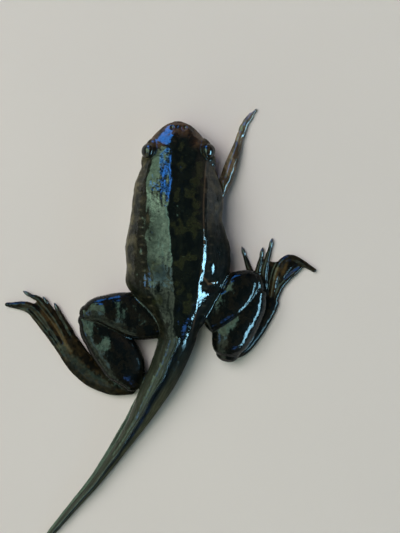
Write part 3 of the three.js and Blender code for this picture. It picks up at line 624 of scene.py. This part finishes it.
def left_fold(points, up, side):
    """A soft crest that sways a little, and the flank's fall beyond it."""
    offset, inside = plan_distance(points, LEFT_FOLD)
    sway = SOFT_FOLD.sway * np.sin(points[:, 1] * SOFT_FOLD.sway_rate)
    crest = SOFT_FOLD.height * bell(offset + sway, SOFT_FOLD.width)
    return (crest * up - fallen(-offset, FLANK_FALL.left) * side) * inside


def roof(points, up):
    """The low roof over the spine."""
    offset, inside = plan_distance(points, SPINE)
    sway = field(points * (0, 1, 0), *ROOF.sway)
    return ROOF.height * bell(offset + sway, ROOF.width) * inside * up


def mouth_line(points):
    """The closed mouth: a groove between two low lips, fainter round the tip of the snout."""
    _, y, z = points.T
    above = z - MOUTH.level + math.tan(MOUTH.rise) * (y - MOUTH.middle)
    lips = sum(bell(above + gap, MOUTH.lip_width) for gap in (-MOUTH.lip_gap, MOUTH.lip_gap))
    shape = MOUTH.lip * lips - MOUTH.depth * bell(above, MOUTH.width)
    return shape * step_up(*MOUTH.corner, y) * (1 - MOUTH.tip_fade * step_up(*MOUTH.tip, y))


def nostrils(x, y):
    """A small pit with a low rim on each side."""
    total = 0
    for side in SIDES.values():
        reach = np.hypot(x - side * NOSTRIL.x, (y - NOSTRIL.y) / NOSTRIL.long)
        total += NOSTRIL.rim * bell(reach - NOSTRIL.rim_radius, NOSTRIL.rim_width)
        total -= NOSTRIL.depth * bell(reach, NOSTRIL.radius)
    return total


def trunk_relief(points, facing):
    """Folds, dashes, spots, wrinkles, mouth and nostrils."""
    x, y, _ = points.T
    up, side, level = (step_up(*limits, facing) for limits in (FACING.back, FACING.side, FACING.stitch))
    height = right_fold(points, up, side) + left_fold(points, up, side) + roof(points, up)
    for line, shift in STITCH_ROWS:
        height += level * STITCH.height * stitches(points, line, shift)
    for spot_x, spot_y, wide, long, rise in BACK_SPOTS:
        height += up * rise * bell(x - spot_x, wide) * bell(y - spot_y, long)
    wall = 1 - step_up(*FACING.wall, np.abs(facing))
    wrinkles = field(points * WRINKLES.stretch, *WRINKLES.field)
    height += wall * wrinkles * (1 - step_up(*WRINKLES.head, y))
    return height + mouth_line(points) + up * nostrils(x, y)


def leg_relief(points, along):
    """Long soft muscles, which turn to hollows at the ends of a thigh or shank."""
    return field(points * MUSCLE.stretch, *MUSCLE.field) * np.cos((along * 2 - 1) * MUSCLE.ends)


def tail_relief(points, along):
    """The grooves between the muscles of the upper tail, which lean back above and below."""
    _, above = tail_frame(points, along)
    from_groove = np.abs(np.mod(along * CHEVRONS.count - np.abs(above) * CHEVRONS.lean, 1) - 0.5)
    return -CHEVRONS.depth * bell(from_groove, CHEVRONS.width) * (1 - step_up(*CHEVRONS.end, along))


def sculpted(points, normals, zone):
    """How far the skin stands out at each point, in millimetres."""
    height = sum(field(points, *ripple) for ripple in RIPPLES)
    lined = np.clip(zone["trunk"] + zone["tail"] + zone["fin"], 0, 1)
    height += lined * streaks(points, zone, *FINE_LINES)
    height += zone["trunk"] * trunk_relief(points, normals[:, 2])
    height += (zone["thigh"] + zone["shank"]) * leg_relief(points, zone["along"])
    return height + zone["tail"] * tail_relief(points, zone["along"])


def eye_opened(points):
    """Sinks the skin below the eyeball inside the rim."""
    points = points.copy()
    for side in SIDES.values():
        axis = eye_axis(side)
        from_centre = points - eye_centre(side)
        ahead = from_centre @ axis
        reach = np.linalg.norm(from_centre - ahead[:, None] * axis, axis=1)
        inside = (1 - step_up(*LID.opening, reach)) * (ahead > 0)
        points += axis * (inside * (LID.floor - ahead))[:, None]
    return points


# How much of the smoothing fine and small parts take, and the passes of each kind of smoothing
SMOOTHED = Sizes(fine=0.12, small=0.4)
PASSES = Sizes(weight=4, form=26, parts=60, along=10, relief=10, marks=6)


def nearest_form(points, base):
    """For each point of the skin, the number of the nearest point of the forms."""
    tree = KDTree(len(base))
    for i, point in enumerate(base):
        tree.insert(point, i)
    tree.balance()
    return np.array([tree.find(point)[1] for point in points])


def smoothed(points, edges, part):
    """Takes the grain off the skin."""
    fine = np.isin(part, [PARTS.index(p) for p in ("fin", "web", "lid")])
    small = np.isin(part, [PARTS.index(p) for p in ("toe", "hand")])
    share = np.where(fine, SMOOTHED.fine, np.where(small, SMOOTHED.small, 1.0))
    weight = spread(share, edges, len(points), PASSES.weight)
    return relax(points, edges, weight, PASSES.form)


def zones(part, along, edges):
    """How far each point belongs to each part, and how far along that part it lies."""
    zone = {name: spread((part == i).astype(float), edges, len(part), PASSES.parts)
            for i, name in enumerate(PARTS)}
    zone["trunk"] = np.clip(zone["trunk"] + zone["lid"], 0, 1)
    zone["along"] = spread(along, edges, len(part), PASSES.along)
    return zone


def make_skin():
    """The skin in its final form, with its marks as attributes."""
    base, faces, parts, along = joined(flesh())
    mesh = drawn_over(base, faces)
    points = array_of(mesh.vertices, "co", 3)
    edges = array_of(mesh.edges, "vertices", 2, np.int32)
    quads = array_of(mesh.loops, "vertex_index", 1, np.int32).reshape(-1, 4)
    nearest = nearest_form(points, base)
    points = smoothed(points, edges, parts[nearest])
    zone = zones(parts[nearest], along[nearest], edges)
    all_of_it = np.ones(len(points))
    broad = normals_of(relax(points, edges, all_of_it, PASSES.relief), quads)
    height = sculpted(points, broad, zone)
    points = eye_opened(points + normals_of(points, quads) * height[:, None])
    points[:, 2] = np.maximum(points[:, 2], 0)
    mesh.vertices.foreach_set("co", (points * MM).astype(np.float32).ravel())
    mesh.polygons.foreach_set("use_smooth", np.ones(len(mesh.polygons), bool))
    soft = normals_of(relax(points, edges, all_of_it, PASSES.marks), quads)
    for name, values in marks(points, soft, zone).items():
        note(mesh, name, values)
    mesh.update()
    mesh.name = "skin"
    return placed("skin", mesh)


# The marks of the skin

# The edges of the marks waver with a random field: how much in facing, and how much along the body
WAVER = Sizes(field=(1, 1.6, 21), flank=0.132, belly=0.22, snout=0.088, snout_along=0.44)
SNOUT_TONE = (11.0, 12.8)
CHEEKS = Sizes(x=2.6, y=11.2, wide=0.8, long=1.0, share=0.5)
# Where the right and the left flank go over to the darker, drier rear of the body
REAR = Sizes(right=(5, -0.5), left=(-2.5, -5))
REAR_FLANK = 0.8  # how much of the pale flank the rear has lost
TAIL_BELLY = 0.5  # how much of the pale underside the tail has lost
# The sides of the tail as angles round it, where an angle under "below" is on the right side too, and
# the stretches of its length over which they turn pale. This pale tone is painted light, strong on the
# lit left side and weak on the right, and the dark band between the sides, right of the crest, is painted
# shadow
TAIL_PAINTED_LIGHT_AND_TONE = Sizes(left=(UPPER_FIN.angle - 0.13, UPPER_FIN.angle + 0.05), right=(1.8, 2.2),
                  below=-1.5, root=(0.1, 0.35), root_share=0.5, left_share=0.75, right_share=0.3,
                  edge=(0.12, 0.4))
# Olive patches of the back: place, half length across and along the body
OLIVE = [
    (1.85, 6.75, 0.75, 0.5), (1.25, 5.5, 0.8, 0.6), (0.0, 1.75, 0.7, 0.85), (1.75, 2.2, 0.85, 1.3),
    (2.3, 8.2, 0.5, 1.0), (2.0, 4.3, 0.6, 0.5), (0.4, 8.6, 0.5, 0.7), (-0.2, 5.2, 0.35, 0.9),
    (0.2, -1.9, 0.6, 0.9), (1.5, -1.4, 0.7, 0.5), (0.1, -4.6, 0.5, 0.9), (1.1, -6.6, 0.6, 1.2),
    (0.3, 10.7, 0.4, 0.5), (-2.4, -2.5, 0.8, 1.0), (-2.4, 6.5, 0.7, 1.2), (-2.2, -6.0, 0.6, 0.8),
]
# How much of its wet gloss the skin has lost in each part
DULL = {"thigh": 0.55, "shank": 0.5, "foot": 0.85, "toe": 0.62, "web": 0.65, "arm": 0.45, "hand": 0.0,
        "tail": 0.72, "fin": 0.3}
# Places that the film of water has run off
DRY = [(-4.7, -13.6, 0.6, 1.7), (-2.95, 1.3, 0.85, 2.4), (-2.9, -2.2, 0.8, 1.0), (-1.7, -3.1, 0.8, 1.1),
       (-1.9, -6.2, 0.8, 0.9), (-12.1, -10.5, 0.5, 0.4)]
DRY_LOSS = 0.7
EYE_LOSS = Sizes(loss=0.9, width=0.35)  # round the rim of each eye
# Where the trunk is steep enough to lose its film, and how much, from the front to the rear
STEEP = Sizes(low=(0.45, 0.65), high=(0.8, 0.88), loss=(0.55, 0.95))
TAIL_LOSS = Sizes(all=0.26, left=-0.6)  # a part's loss that is below nothing adds gloss
# Painted highlights: the pale line along the crease below the bulge over the right hip, and the pale line on
# the crest of the right fold
CREASE_HIGHLIGHT = Sizes(line=((2.7, -3.5), (3.3, -4.25), (4.1, -4.1)), width=0.1, share=0.9)
CREST_HIGHLIGHT = Sizes(width=0.07, share=0.35)
# Two warm patches on the head that are painted reflections: place, half length across and along the body
REFLECTION_PATCHES = [(-1.85, 11.05, 0.5, 0.4), (1.85, 11.2, 0.45, 0.5)]
REFLECTION_SHARE = 0.6
# Amber streaks of the feet, each between two places in plan
AMBER = [((-15.2, -7.3), (-13.6, -9.2)), ((-13.7, -9.0), (-11.9, -11.9)), ((11.0, -2.6), (10.2, -5.6)),
         ((11.9, -2.2), (11.5, -3.2))]
AMBER_WIDTH = 0.2
# Random variation of the marks
OLIVE_EDGE = Sizes(limits=(0.35, 0.75), field=(0.25, 0.8, 24))
AMBER_FIELD = (0.2, 0.7, 25)
STREAK_FIELD = (0.4, 0.7, 26)
BLOTCHES = [(0.5, 1.5, 22), (0.35, 0.6, 23)]


def beside_line(points, start, end):
    """The distance in plan from a straight line between two places."""
    way, beyond = np.subtract(end, start), points[:, :2] - start
    t = np.clip(beyond @ way / (way @ way), 0, 1)
    return np.hypot(*(beyond - t[:, None] * way).T)


def patches(x, y, rows):
    return np.clip(sum(bell(x - px, wide) * bell(y - py, long) for px, py, wide, long in rows), 0, 1)


def head_marks(x, y, up, waver):
    """The warm tone of the snout and the cheeks, and two warm patches of the head that are painted
    reflections.
    """
    snout = step_up(*SNOUT_TONE, y + WAVER.snout_along * waver)
    snout *= 1 - step_up(*FACING.snout, up + WAVER.snout * waver)
    cheeks = bell(np.abs(x) - CHEEKS.x, CHEEKS.wide) * bell(y - CHEEKS.y, CHEEKS.long)
    cheeks *= 1 - step_up(*FACING.cheeks, up)
    return snout + CHEEKS.share * cheeks + REFLECTION_SHARE * patches(x, y, REFLECTION_PATCHES)


def tail_marks(points, along):
    """The left side of the tail; the pale tone of both sides, which is painted light, strong on the lit left
    side, weak on the right, and missing in a painted shadow band right of the crest; and the paler right
    edge.
    """
    across, above = tail_frame(points, along)
    angle = np.arctan2(above, across)  # none on the left, a right angle on top
    left = 1 - step_up(*TAIL_PAINTED_LIGHT_AND_TONE.left, angle)
    right = step_up(*TAIL_PAINTED_LIGHT_AND_TONE.right, np.where(angle < TAIL_PAINTED_LIGHT_AND_TONE.below, angle + 2 * math.pi, angle))
    pale = TAIL_PAINTED_LIGHT_AND_TONE.left_share * left + TAIL_PAINTED_LIGHT_AND_TONE.right_share * right
    pale *= between((TAIL_PAINTED_LIGHT_AND_TONE.root_share, 1), step_up(*TAIL_PAINTED_LIGHT_AND_TONE.root, along))
    return left, pale, right * step_up(*TAIL_PAINTED_LIGHT_AND_TONE.edge, along)


def painted_highlight_lines(points, up):
    """Painted highlights: a pale line on the crest of the right fold, and one along the crease."""
    offset, inside = plan_distance(points, RIGHT_FOLD)
    crest = CREST_HIGHLIGHT.share * inside * bell(offset, CREST_HIGHLIGHT.width)
    crease = sum(bell(beside_line(points, *ends), CREASE_HIGHLIGHT.width)
                 for ends in zip(CREASE_HIGHLIGHT.line, CREASE_HIGHLIGHT.line[1:]))
    return crest * step_up(*FACING.crest, up) + CREASE_HIGHLIGHT.share * crease


def wetness(points, zone, up, rear, tail_left):
    """How much of its wet gloss the skin still has."""
    x, y, _ = points.T
    steep = 1 - step_up(between(STEEP.low, rear), between(STEEP.high, rear), up)
    round_eye = sum(bell(np.linalg.norm(points - eye_centre(side), axis=1) - LID.ring, EYE_LOSS.width)
                    for side in SIDES.values())
    loss = sum(zone[part] * share for part, share in DULL.items())
    loss += zone["trunk"] * between(STEEP.loss, rear) * steep
    loss += EYE_LOSS.loss * round_eye + DRY_LOSS * patches(x, y, DRY)
    loss += zone["tail"] * (TAIL_LOSS.all + TAIL_LOSS.left * tail_left)
    return np.clip(1 - loss, 0, 1)


def marks(points, normals, zone):
    """Where the skin changes colour and gloss; some of the colour is painted light and shade."""
    x, y, _ = points.T
    trunk, up = zone["trunk"], normals[:, 2]
    waver = field(points, *WAVER.field)
    rear = np.where(x > 0, step_up(*REAR.right, y), step_up(*REAR.left, y))
    foot = np.clip(zone["foot"] + zone["toe"] + zone["web"], 0, 1)
    tail = np.clip(zone["tail"] + zone["fin"], 0, 1)
    tail_left, tail_painted_light, tail_edge = tail_marks(points, zone["along"])
    flank = 1 - step_up(*FACING.flank, up + WAVER.flank * waver)
    belly = 1 - step_up(*FACING.belly, up + WAVER.belly * waver)
    stitch = sum(stitches(points, line, shift) for line, shift in STITCH_ROWS)
    olive = step_up(*OLIVE_EDGE.limits, patches(x, y, OLIVE) + field(points, *OLIVE_EDGE.field))
    amber = sum(bell(beside_line(points, *ends), AMBER_WIDTH) for ends in AMBER)
    return {
        # the flank's warm tone: partly the skin's own, partly a painted reflection
        "flank": trunk * flank * (1 - REAR_FLANK * rear),
        "belly": belly * (1 - TAIL_BELLY * zone["tail"]),
        # the snout's tone also carries two painted reflections
        "snout": np.clip(trunk * head_marks(x, y, up, waver), 0, 1),
        "leg": zone["thigh"] + zone["shank"],
        "foot": foot,
        "arm": np.clip(zone["arm"] + zone["hand"], 0, 1),
        "tail": tail,
        # painted light on the sides of the tail, with a band of painted shadow right of the crest
        "fin": tail * tail_painted_light,
        "edge": tail * tail_edge,
        "dots": trunk * stitch * step_up(*FACING.dots, up),
        "olive": trunk * olive * step_up(*FACING.olive, up),
        "amber": foot * np.clip(amber + field(points, *AMBER_FIELD), 0, 1),
        # painted highlights on the crest of the right fold and along the crease below the hip bulge
        "crest": trunk * np.clip(painted_highlight_lines(points, up), 0, 1),
        "streak": np.clip(0.5 + streaks(points, zone, *STREAK_FIELD), 0, 1),
        "blotch": np.clip(0.5 + sum(field(points, *size) for size in BLOTCHES), 0, 1),
        "wet": wetness(points, zone, up, rear, tail_left),
    }


# Materials

# For each zone its dark and its light tone, as plain colour values
TONES = {
    "back": ((0.0014, 0.0022, 0.0016), (0.005, 0.0065, 0.004)),
    # the flank's warm tone is partly the skin's own and partly a painted reflection of warm surroundings
    "flank": ((0.023, 0.0195, 0.011), (0.09, 0.076, 0.044)),
    "snout": ((0.022, 0.012, 0.007), (0.08, 0.044, 0.024)),
    "leg": ((0.0012, 0.0015, 0.0012), (0.007, 0.0055, 0.003)),
    "tail": ((0.0015, 0.0025, 0.002), (0.009, 0.012, 0.009)),
    # the "fin" tones are painted light on the sides of the tail and its fins, strongest on the left
    "fin": ((0.024, 0.028, 0.019), (0.045, 0.051, 0.035)),
    "edge": ((0.055, 0.054, 0.03), (0.1, 0.096, 0.058)),
    "arm": ((0.05, 0.034, 0.018), (0.16, 0.115, 0.07)),
    "foot": ((0.0025, 0.0017, 0.0008), (0.013, 0.009, 0.004)),
    "belly": ((0.26, 0.25, 0.21), (0.5, 0.48, 0.42)),
}
# The tones of the marks on top of these, and how strongly each layer shows
# the "crest" tone is that of painted highlights
MARK_TONES = {"olive": (0.02, 0.022, 0.008), "amber": (0.1, 0.062, 0.022), "dots": (0.1, 0.09, 0.06),
              "crest": (0.2, 0.13, 0.08)}
LAYERS = {"olive": 0.85, "amber": 0.8, "lines": 0.25, "speckle": 0.45, "dots": 0.4}
PUPIL, EYE_RIM = (0.0015, 0.0015, 0.0015), (0.003, 0.003, 0.003)
IRIS = ((0.004, 0.003, 0.002), (0.03, 0.021, 0.01))
HORN = ((0.006, 0.005, 0.004), (0.03, 0.022, 0.014))


class Nodes:
    """A short way to lay out a material's nodes."""

    def __init__(self, name):
        self.material = bpy.data.materials.new(name)
        self.material.use_nodes = True
        self.tree = self.material.node_tree
        self.tree.nodes.clear()

    def plug(self, socket, value):
        """Links a socket to another node, or sets its own value."""
        if isinstance(value, bpy.types.NodeSocket):
            self.tree.links.new(value, socket)
        else:
            socket.default_value = value

    def add(self, kind, settings=None, **inputs):
        made = self.tree.nodes.new(kind)
        for key, value in (settings or {}).items():
            setattr(made, key, value)
        for key, value in inputs.items():
            self.plug(made.inputs[key.replace("_", " ")], value)
        return made

    def mix(self, share, first, second):
        made = self.add("ShaderNodeMix", {"data_type": "RGBA"})
        for number, value in ((0, share), (6, first), (7, second)):
            self.plug(made.inputs[number], (*value, 1) if isinstance(value, tuple) else value)
        return made.outputs[2]

    def attribute(self, name):
        return self.add("ShaderNodeAttribute", {"attribute_name": name}).outputs["Fac"]

    def sum(self, first, second, operation="ADD"):
        made = self.add("ShaderNodeMath", {"operation": operation})
        for socket, value in zip(made.inputs, (first, second)):
            self.plug(socket, value)
        return made.outputs[0]

    def times(self, first, second):
        return self.sum(first, second, "MULTIPLY")

    def ramp(self, value, low, high):
        settings = {"interpolation_type": "SMOOTHSTEP"}
        made = self.add("ShaderNodeMapRange", settings, Value=value, From_Min=low, From_Max=high)
        return made.outputs["Result"]

    def noise(self, scale, detail=4.0, roughness=0.55, warp=0.0):
        place = self.add("ShaderNodeTexCoord").outputs["Object"]
        made = self.add("ShaderNodeTexNoise", Vector=place, Scale=scale / MM, Detail=detail,
                        Roughness=roughness, Distortion=warp)
        return made.outputs["Fac"]

    def cells(self, scale):
        place = self.add("ShaderNodeTexCoord").outputs["Object"]
        made = self.add("ShaderNodeTexVoronoi", {"feature": "SMOOTH_F1"}, Vector=place, Scale=scale / MM)
        return made.outputs["Distance"]

    def bump(self, height, strength, distance, normal=None):
        made = self.add("ShaderNodeBump", Height=height, Strength=strength, Distance=distance * MM)
        if normal:
            self.plug(made.inputs["Normal"], normal)
        return made.outputs["Normal"]

    def finish(self, **inputs):
        shader = self.add("ShaderNodeBsdfPrincipled", **inputs)
        self.add("ShaderNodeOutputMaterial", Surface=shader.outputs["BSDF"])
        return self.material


def skin_colour(nodes):
    """The tones of the zones, mottled or streaked, and the marks over them."""
    dark, light = TONES["back"]
    for zone in list(TONES)[1:]:
        share = nodes.attribute(zone)
        dark = nodes.mix(share, dark, TONES[zone][0])
        light = nodes.mix(share, light, TONES[zone][1])
    uneven = nodes.sum(nodes.noise(0.7, detail=5.0, roughness=0.6, warp=0.4), nodes.attribute("blotch"))
    lined = nodes.ramp(nodes.attribute("streak"), 0.05, 1.05)
    mottle = nodes.mix(nodes.attribute("tail"), nodes.ramp(uneven, 0.78, 1.22), lined)
    speckle = nodes.ramp(nodes.noise(4.2, detail=3.0, roughness=0.5), 0.42, 0.68)
    colour = nodes.mix(mottle, dark, light)
    for mark in ("olive", "amber"):
        colour = nodes.mix(nodes.times(nodes.attribute(mark), LAYERS[mark]), colour, MARK_TONES[mark])
    colour = nodes.mix(nodes.times(lined, LAYERS["lines"]), colour, light)
    colour = nodes.mix(nodes.times(speckle, LAYERS["speckle"]), colour, dark)
    colour = nodes.mix(nodes.times(nodes.attribute("dots"), LAYERS["dots"]), colour, MARK_TONES["dots"])
    # the pale crest and crease lines are painted highlights
    return nodes.mix(nodes.attribute("crest"), colour, MARK_TONES["crest"])


def skin_gloss(nodes):
    """The film of water: it breaks up into patches, and is gone where the skin has dried."""
    patchy = nodes.ramp(nodes.noise(2.4, detail=5.0, roughness=0.65, warp=0.4), 0.36, 0.6)
    film = nodes.sum(nodes.times(patchy, 0.45), 0.6)
    return nodes.times(film, nodes.attribute("wet"))


def skin_material():
    nodes = Nodes("wet_frog_skin")
    colour = skin_colour(nodes)
    grain = nodes.sum(nodes.noise(6.5, detail=3.0, roughness=0.6), nodes.times(nodes.cells(3.4), 0.6))
    lumps = nodes.bump(nodes.noise(1.3, detail=2.0, roughness=0.5), strength=0.3, distance=0.065)
    normal = nodes.bump(grain, strength=0.3, distance=0.022, normal=lumps)
    roughness = nodes.ramp(nodes.noise(1.7, detail=3.0), -0.8, 1.5)
    gloss = skin_gloss(nodes)
    return nodes.finish(
        Base_Color=colour, Roughness=roughness, Specular_IOR_Level=0.03, Normal=normal, Coat_Normal=normal,
        Coat_Weight=gloss, Coat_Roughness=0.035, Subsurface_Weight=0.1,
        Subsurface_Radius=(0.8, 0.5, 0.3), Subsurface_Scale=0.0004)


def eye_material():
    """From the middle of the dome outwards: the pupil, the streaked iris and the dark rim."""
    nodes = Nodes("frog_eye")
    gaze = nodes.attribute("gaze")
    streaked = nodes.noise(4.0, roughness=0.6)
    iris = nodes.mix(nodes.ramp(streaked, 0.4, 0.62), *IRIS)
    wavy = nodes.sum(gaze, nodes.times(nodes.noise(2.0), 0.06))
    colour = nodes.mix(nodes.ramp(wavy, 0.86, 0.9), iris, PUPIL)
    colour = nodes.mix(nodes.ramp(gaze, 0.6, 0.45), colour, EYE_RIM)
    normal = nodes.bump(streaked, strength=0.1, distance=0.01)
    rough = nodes.ramp(streaked, -1.0, 3.0)
    return nodes.finish(Base_Color=colour, Roughness=rough, Specular_IOR_Level=0.03, Normal=normal,
                        Coat_Weight=0.75, Coat_Roughness=0.0)


def claw_material():
    nodes = Nodes("claw_horn")
    grain = nodes.noise(6.0, detail=3.0, roughness=0.6)
    colour = nodes.mix(nodes.ramp(grain, 0.35, 0.7), *HORN)
    rough = nodes.ramp(grain, -0.6, 2.2)
    relief = nodes.bump(grain, strength=0.3, distance=0.02)
    return nodes.finish(Base_Color=colour, Roughness=rough, Normal=relief,
                        Coat_Weight=0.6, Coat_Roughness=0.08)


# Eyes and claws

def make_eye(name, side):
    axis = Vector(eye_axis(side))
    turn = np.array(axis.to_track_quat("Z", "Y").to_matrix())
    radii = (EYE.radius, EYE.radius, EYE.dome)
    points, faces, _ = ellipsoid(eye_centre(side) + np.array(axis) * EYE.lift, radii, turn, 40)
    eye = mesh_object(f"eyeball_{name}", points * MM, faces)
    gaze = (points - eye_centre(side)) @ np.array(axis) / EYE.radius
    note(eye.data, "gaze", gaze)
    return eye


# A claw from its root to its point: how far beyond the toe, level, thickness
CLAW = [(-0.2, 0.3, 0.4), (0.11, 0.33, 0.46), (0.45, 0.33, 0.36), (0.68, 0.25, 0.2), (0.8, 0.18, 0.07)]
BEFORE_TIP = 0.999


def make_claw(name, number, toe_line):
    line = np.array(toe_line)
    tip = curve(line, np.array(1.0))
    along = tip - curve(line, np.array(BEFORE_TIP))
    along /= np.linalg.norm(along)
    rows = []
    for step, level, size in CLAW:
        x, y = tip + along * (TOE.end + step)
        rows.append((x, y, level, size, size))
    points, faces, _ = loft(limb(rows), 30, 24, start=0.05, end=0.03)
    return mesh_object(f"claw_horn_{name}_{number}", points * MM, faces)


def smooth_shaded(piece):
    for face in piece.data.polygons:
        face.use_smooth = True


def dress(piece, material, slot, *nodes):
    piece.data.materials.clear()
    piece.data.materials.append(material)
    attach(piece, BODY)
    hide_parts(*nodes)


skin = make_skin()
flesh_nodes = [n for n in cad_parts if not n.startswith(("eye_", "claw_"))]
dress(skin, skin_material(), "skin_body", *flesh_nodes)
eye_look, claw_look = eye_material(), claw_material()
for name, side in SIDES.items():
    eye = make_eye(name, side)
    smooth_shaded(eye)
    dress(eye, eye_look, "eye", f"eye_{name}")
    for number in (1, 2, 3):
        claw = make_claw(name, number, LEGS[name]["toes"][number - 1])
        smooth_shaded(claw)
        dress(claw, claw_look, "claw", f"claw_{name}_{number}")

# Floor, light and camera

bpy.context.scene.view_settings.view_transform = "Standard"

FLOOR = 3.0  # metres, as the panels
PAPER = ((0.66, 0.585, 0.6), (0.72, 0.645, 0.66))
corners = [(x * FLOOR / 2, y * FLOOR / 2, 0) for x, y in ((-1, -1), (1, -1), (1, 1), (-1, 1))]
floor = mesh_object("floor", corners, [(0, 1, 2, 3)])
paper = Nodes("pale_floor")
paper_tone = paper.mix(paper.noise(0.02, detail=3.0), *PAPER)
floor.data.materials.append(paper.finish(Base_Color=paper_tone, Roughness=0.8))


def panel(name, toward, distance, wide, long, colour, radiance, mirrored=True):
    """A soft light that faces the frog. It either only shows in the wet skin or only lights it."""
    light = bpy.data.lights.new(name, "AREA")
    light.shape = "RECTANGLE"
    light.size, light.size_y = wide, long
    light.color = colour
    light.energy = radiance * math.pi * wide * long
    lamp = placed(name, light)
    way = Vector(toward).normalized()
    forward = (Vector((0, 1, 0)) - way * way.y).normalized()
    lamp.location = way * distance
    lamp.rotation_mode = "QUATERNION"
    lamp.rotation_quaternion = Matrix((forward.cross(way), forward, way)).transposed().to_quaternion()
    lamp.visible_diffuse = not mirrored
    lamp.visible_glossy = mirrored


panel("softbox", (-0.45, 0.3, 0.84), 0.7, 0.55, 0.55, (1.0, 0.97, 0.93), 3.9, mirrored=False)
PANEL_DISTANCE = 0.6
# The panels that the skin mirrors: name, direction, width, length, colour and radiance
PANELS = [
    ("sky_bright", (-0.195, 0.17, 0.966), 0.13, 0.31, (0.5, 1.0, 0.76), 3.0),
    ("sky_soft", (-0.62, 0.14, 0.77), 0.45, 0.33, (0.62, 1.0, 0.7), 2.8),
    ("sky_front", (-0.67, 0.5, 0.55), 0.3, 0.27, (0.62, 1.0, 0.66), 3.3),
    ("blue_near", (-0.24, 0.54, 0.81), 0.12, 0.15, (0.05, 0.3, 1.0), 12.0),
    ("blue_left", (-0.42, 0.6, 0.68), 0.08, 0.07, (0.06, 0.36, 1.0), 8.0),
    ("blue_far", (-0.33, 0.91, 0.25), 0.28, 0.28, (0.05, 0.3, 1.0), 10.0),
    ("blue_hip", (-0.76, -0.2, 0.62), 0.1, 0.09, (0.12, 0.42, 1.0), 5.0),
    ("sky_behind", (-0.3, -0.26, 0.92), 0.15, 0.14, (0.5, 0.95, 1.0), 2.6),
    ("window_right", (0.82, -0.3, 0.48), 0.14, 0.5, (0.36, 0.76, 1.0), 36.0),
    ("blue_behind", (0.32, -0.72, 0.61), 0.1, 0.08, (0.07, 0.3, 1.0), 5.0),
]
for name, toward, *look in PANELS:
    panel(name, toward, PANEL_DISTANCE, *look)

world = bpy.data.worlds.new("studio")
bpy.context.scene.world = world
world.use_nodes = True


# The tones of the room, and the stretches of the mirrored direction over which one takes over
ROOM = Sizes(dim=(0.016, 0.018, 0.02), clouds=((0.15, 0.22, 0.2), (1.4, 1.8, 1.3)),
             far_left=(0.28, 0.25, 0.18), ahead_right=(0.2, 0.15, 0.12), low=(0.6, 0.58, 0.55))
TURN = Sizes(left=(-0.07, -0.16), not_ahead=(0.52, 0.38), clouds=(0.4, 0.6), far_left=(-0.7, -0.92),
             right=(0.2, 0.6), ahead=(0.05, 0.45), low=(0.07, 0.01))


class Air(Nodes):
    """The room as the wet skin mirrors it: dim above and to the right, softly lit to the left."""

    def __init__(self, world):
        self.tree = world.node_tree
        self.tree.nodes.clear()
        place = self.add("ShaderNodeTexCoord").outputs["Generated"]
        x, y, z = self.add("ShaderNodeSeparateXYZ", Vector=place).outputs
        left = self.times(self.ramp(x, *TURN.left), self.ramp(y, *TURN.not_ahead))
        clouds = self.add("ShaderNodeTexNoise", Vector=place, Scale=7.0, Detail=3.0).outputs["Fac"]
        lit = self.mix(self.ramp(clouds, *TURN.clouds), *ROOM.clouds)
        colour = self.mix(left, ROOM.dim, lit)
        colour = self.mix(self.ramp(x, *TURN.far_left), colour, ROOM.far_left)
        ahead_right = self.times(self.ramp(x, *TURN.right), self.ramp(y, *TURN.ahead))
        colour = self.mix(ahead_right, colour, ROOM.ahead_right)
        colour = self.mix(self.ramp(z, *TURN.low), colour, ROOM.low)
        glow = self.add("ShaderNodeBackground", Color=colour, Strength=1.0)
        self.add("ShaderNodeOutputWorld", Surface=glow.outputs[0])


Air(world)

# The middle of the picture, how far above it the camera is, and how much of the frog it takes in
SHOT = Sizes(x=2.365, y=-2.365, z=2.5, distance=220, height=58.63, sensor=36.0, clip=0.01)
camera_data = bpy.data.cameras.new("camera")
camera_data.sensor_width = SHOT.sensor
camera_data.lens = SHOT.sensor * SHOT.distance / SHOT.height
camera_data.clip_start = SHOT.clip
camera = placed("camera", camera_data)
camera.location = Vector((SHOT.x, SHOT.y, SHOT.z + SHOT.distance)) * MM
bpy.context.scene.camera = camera

bpy.context.view_layer.update()
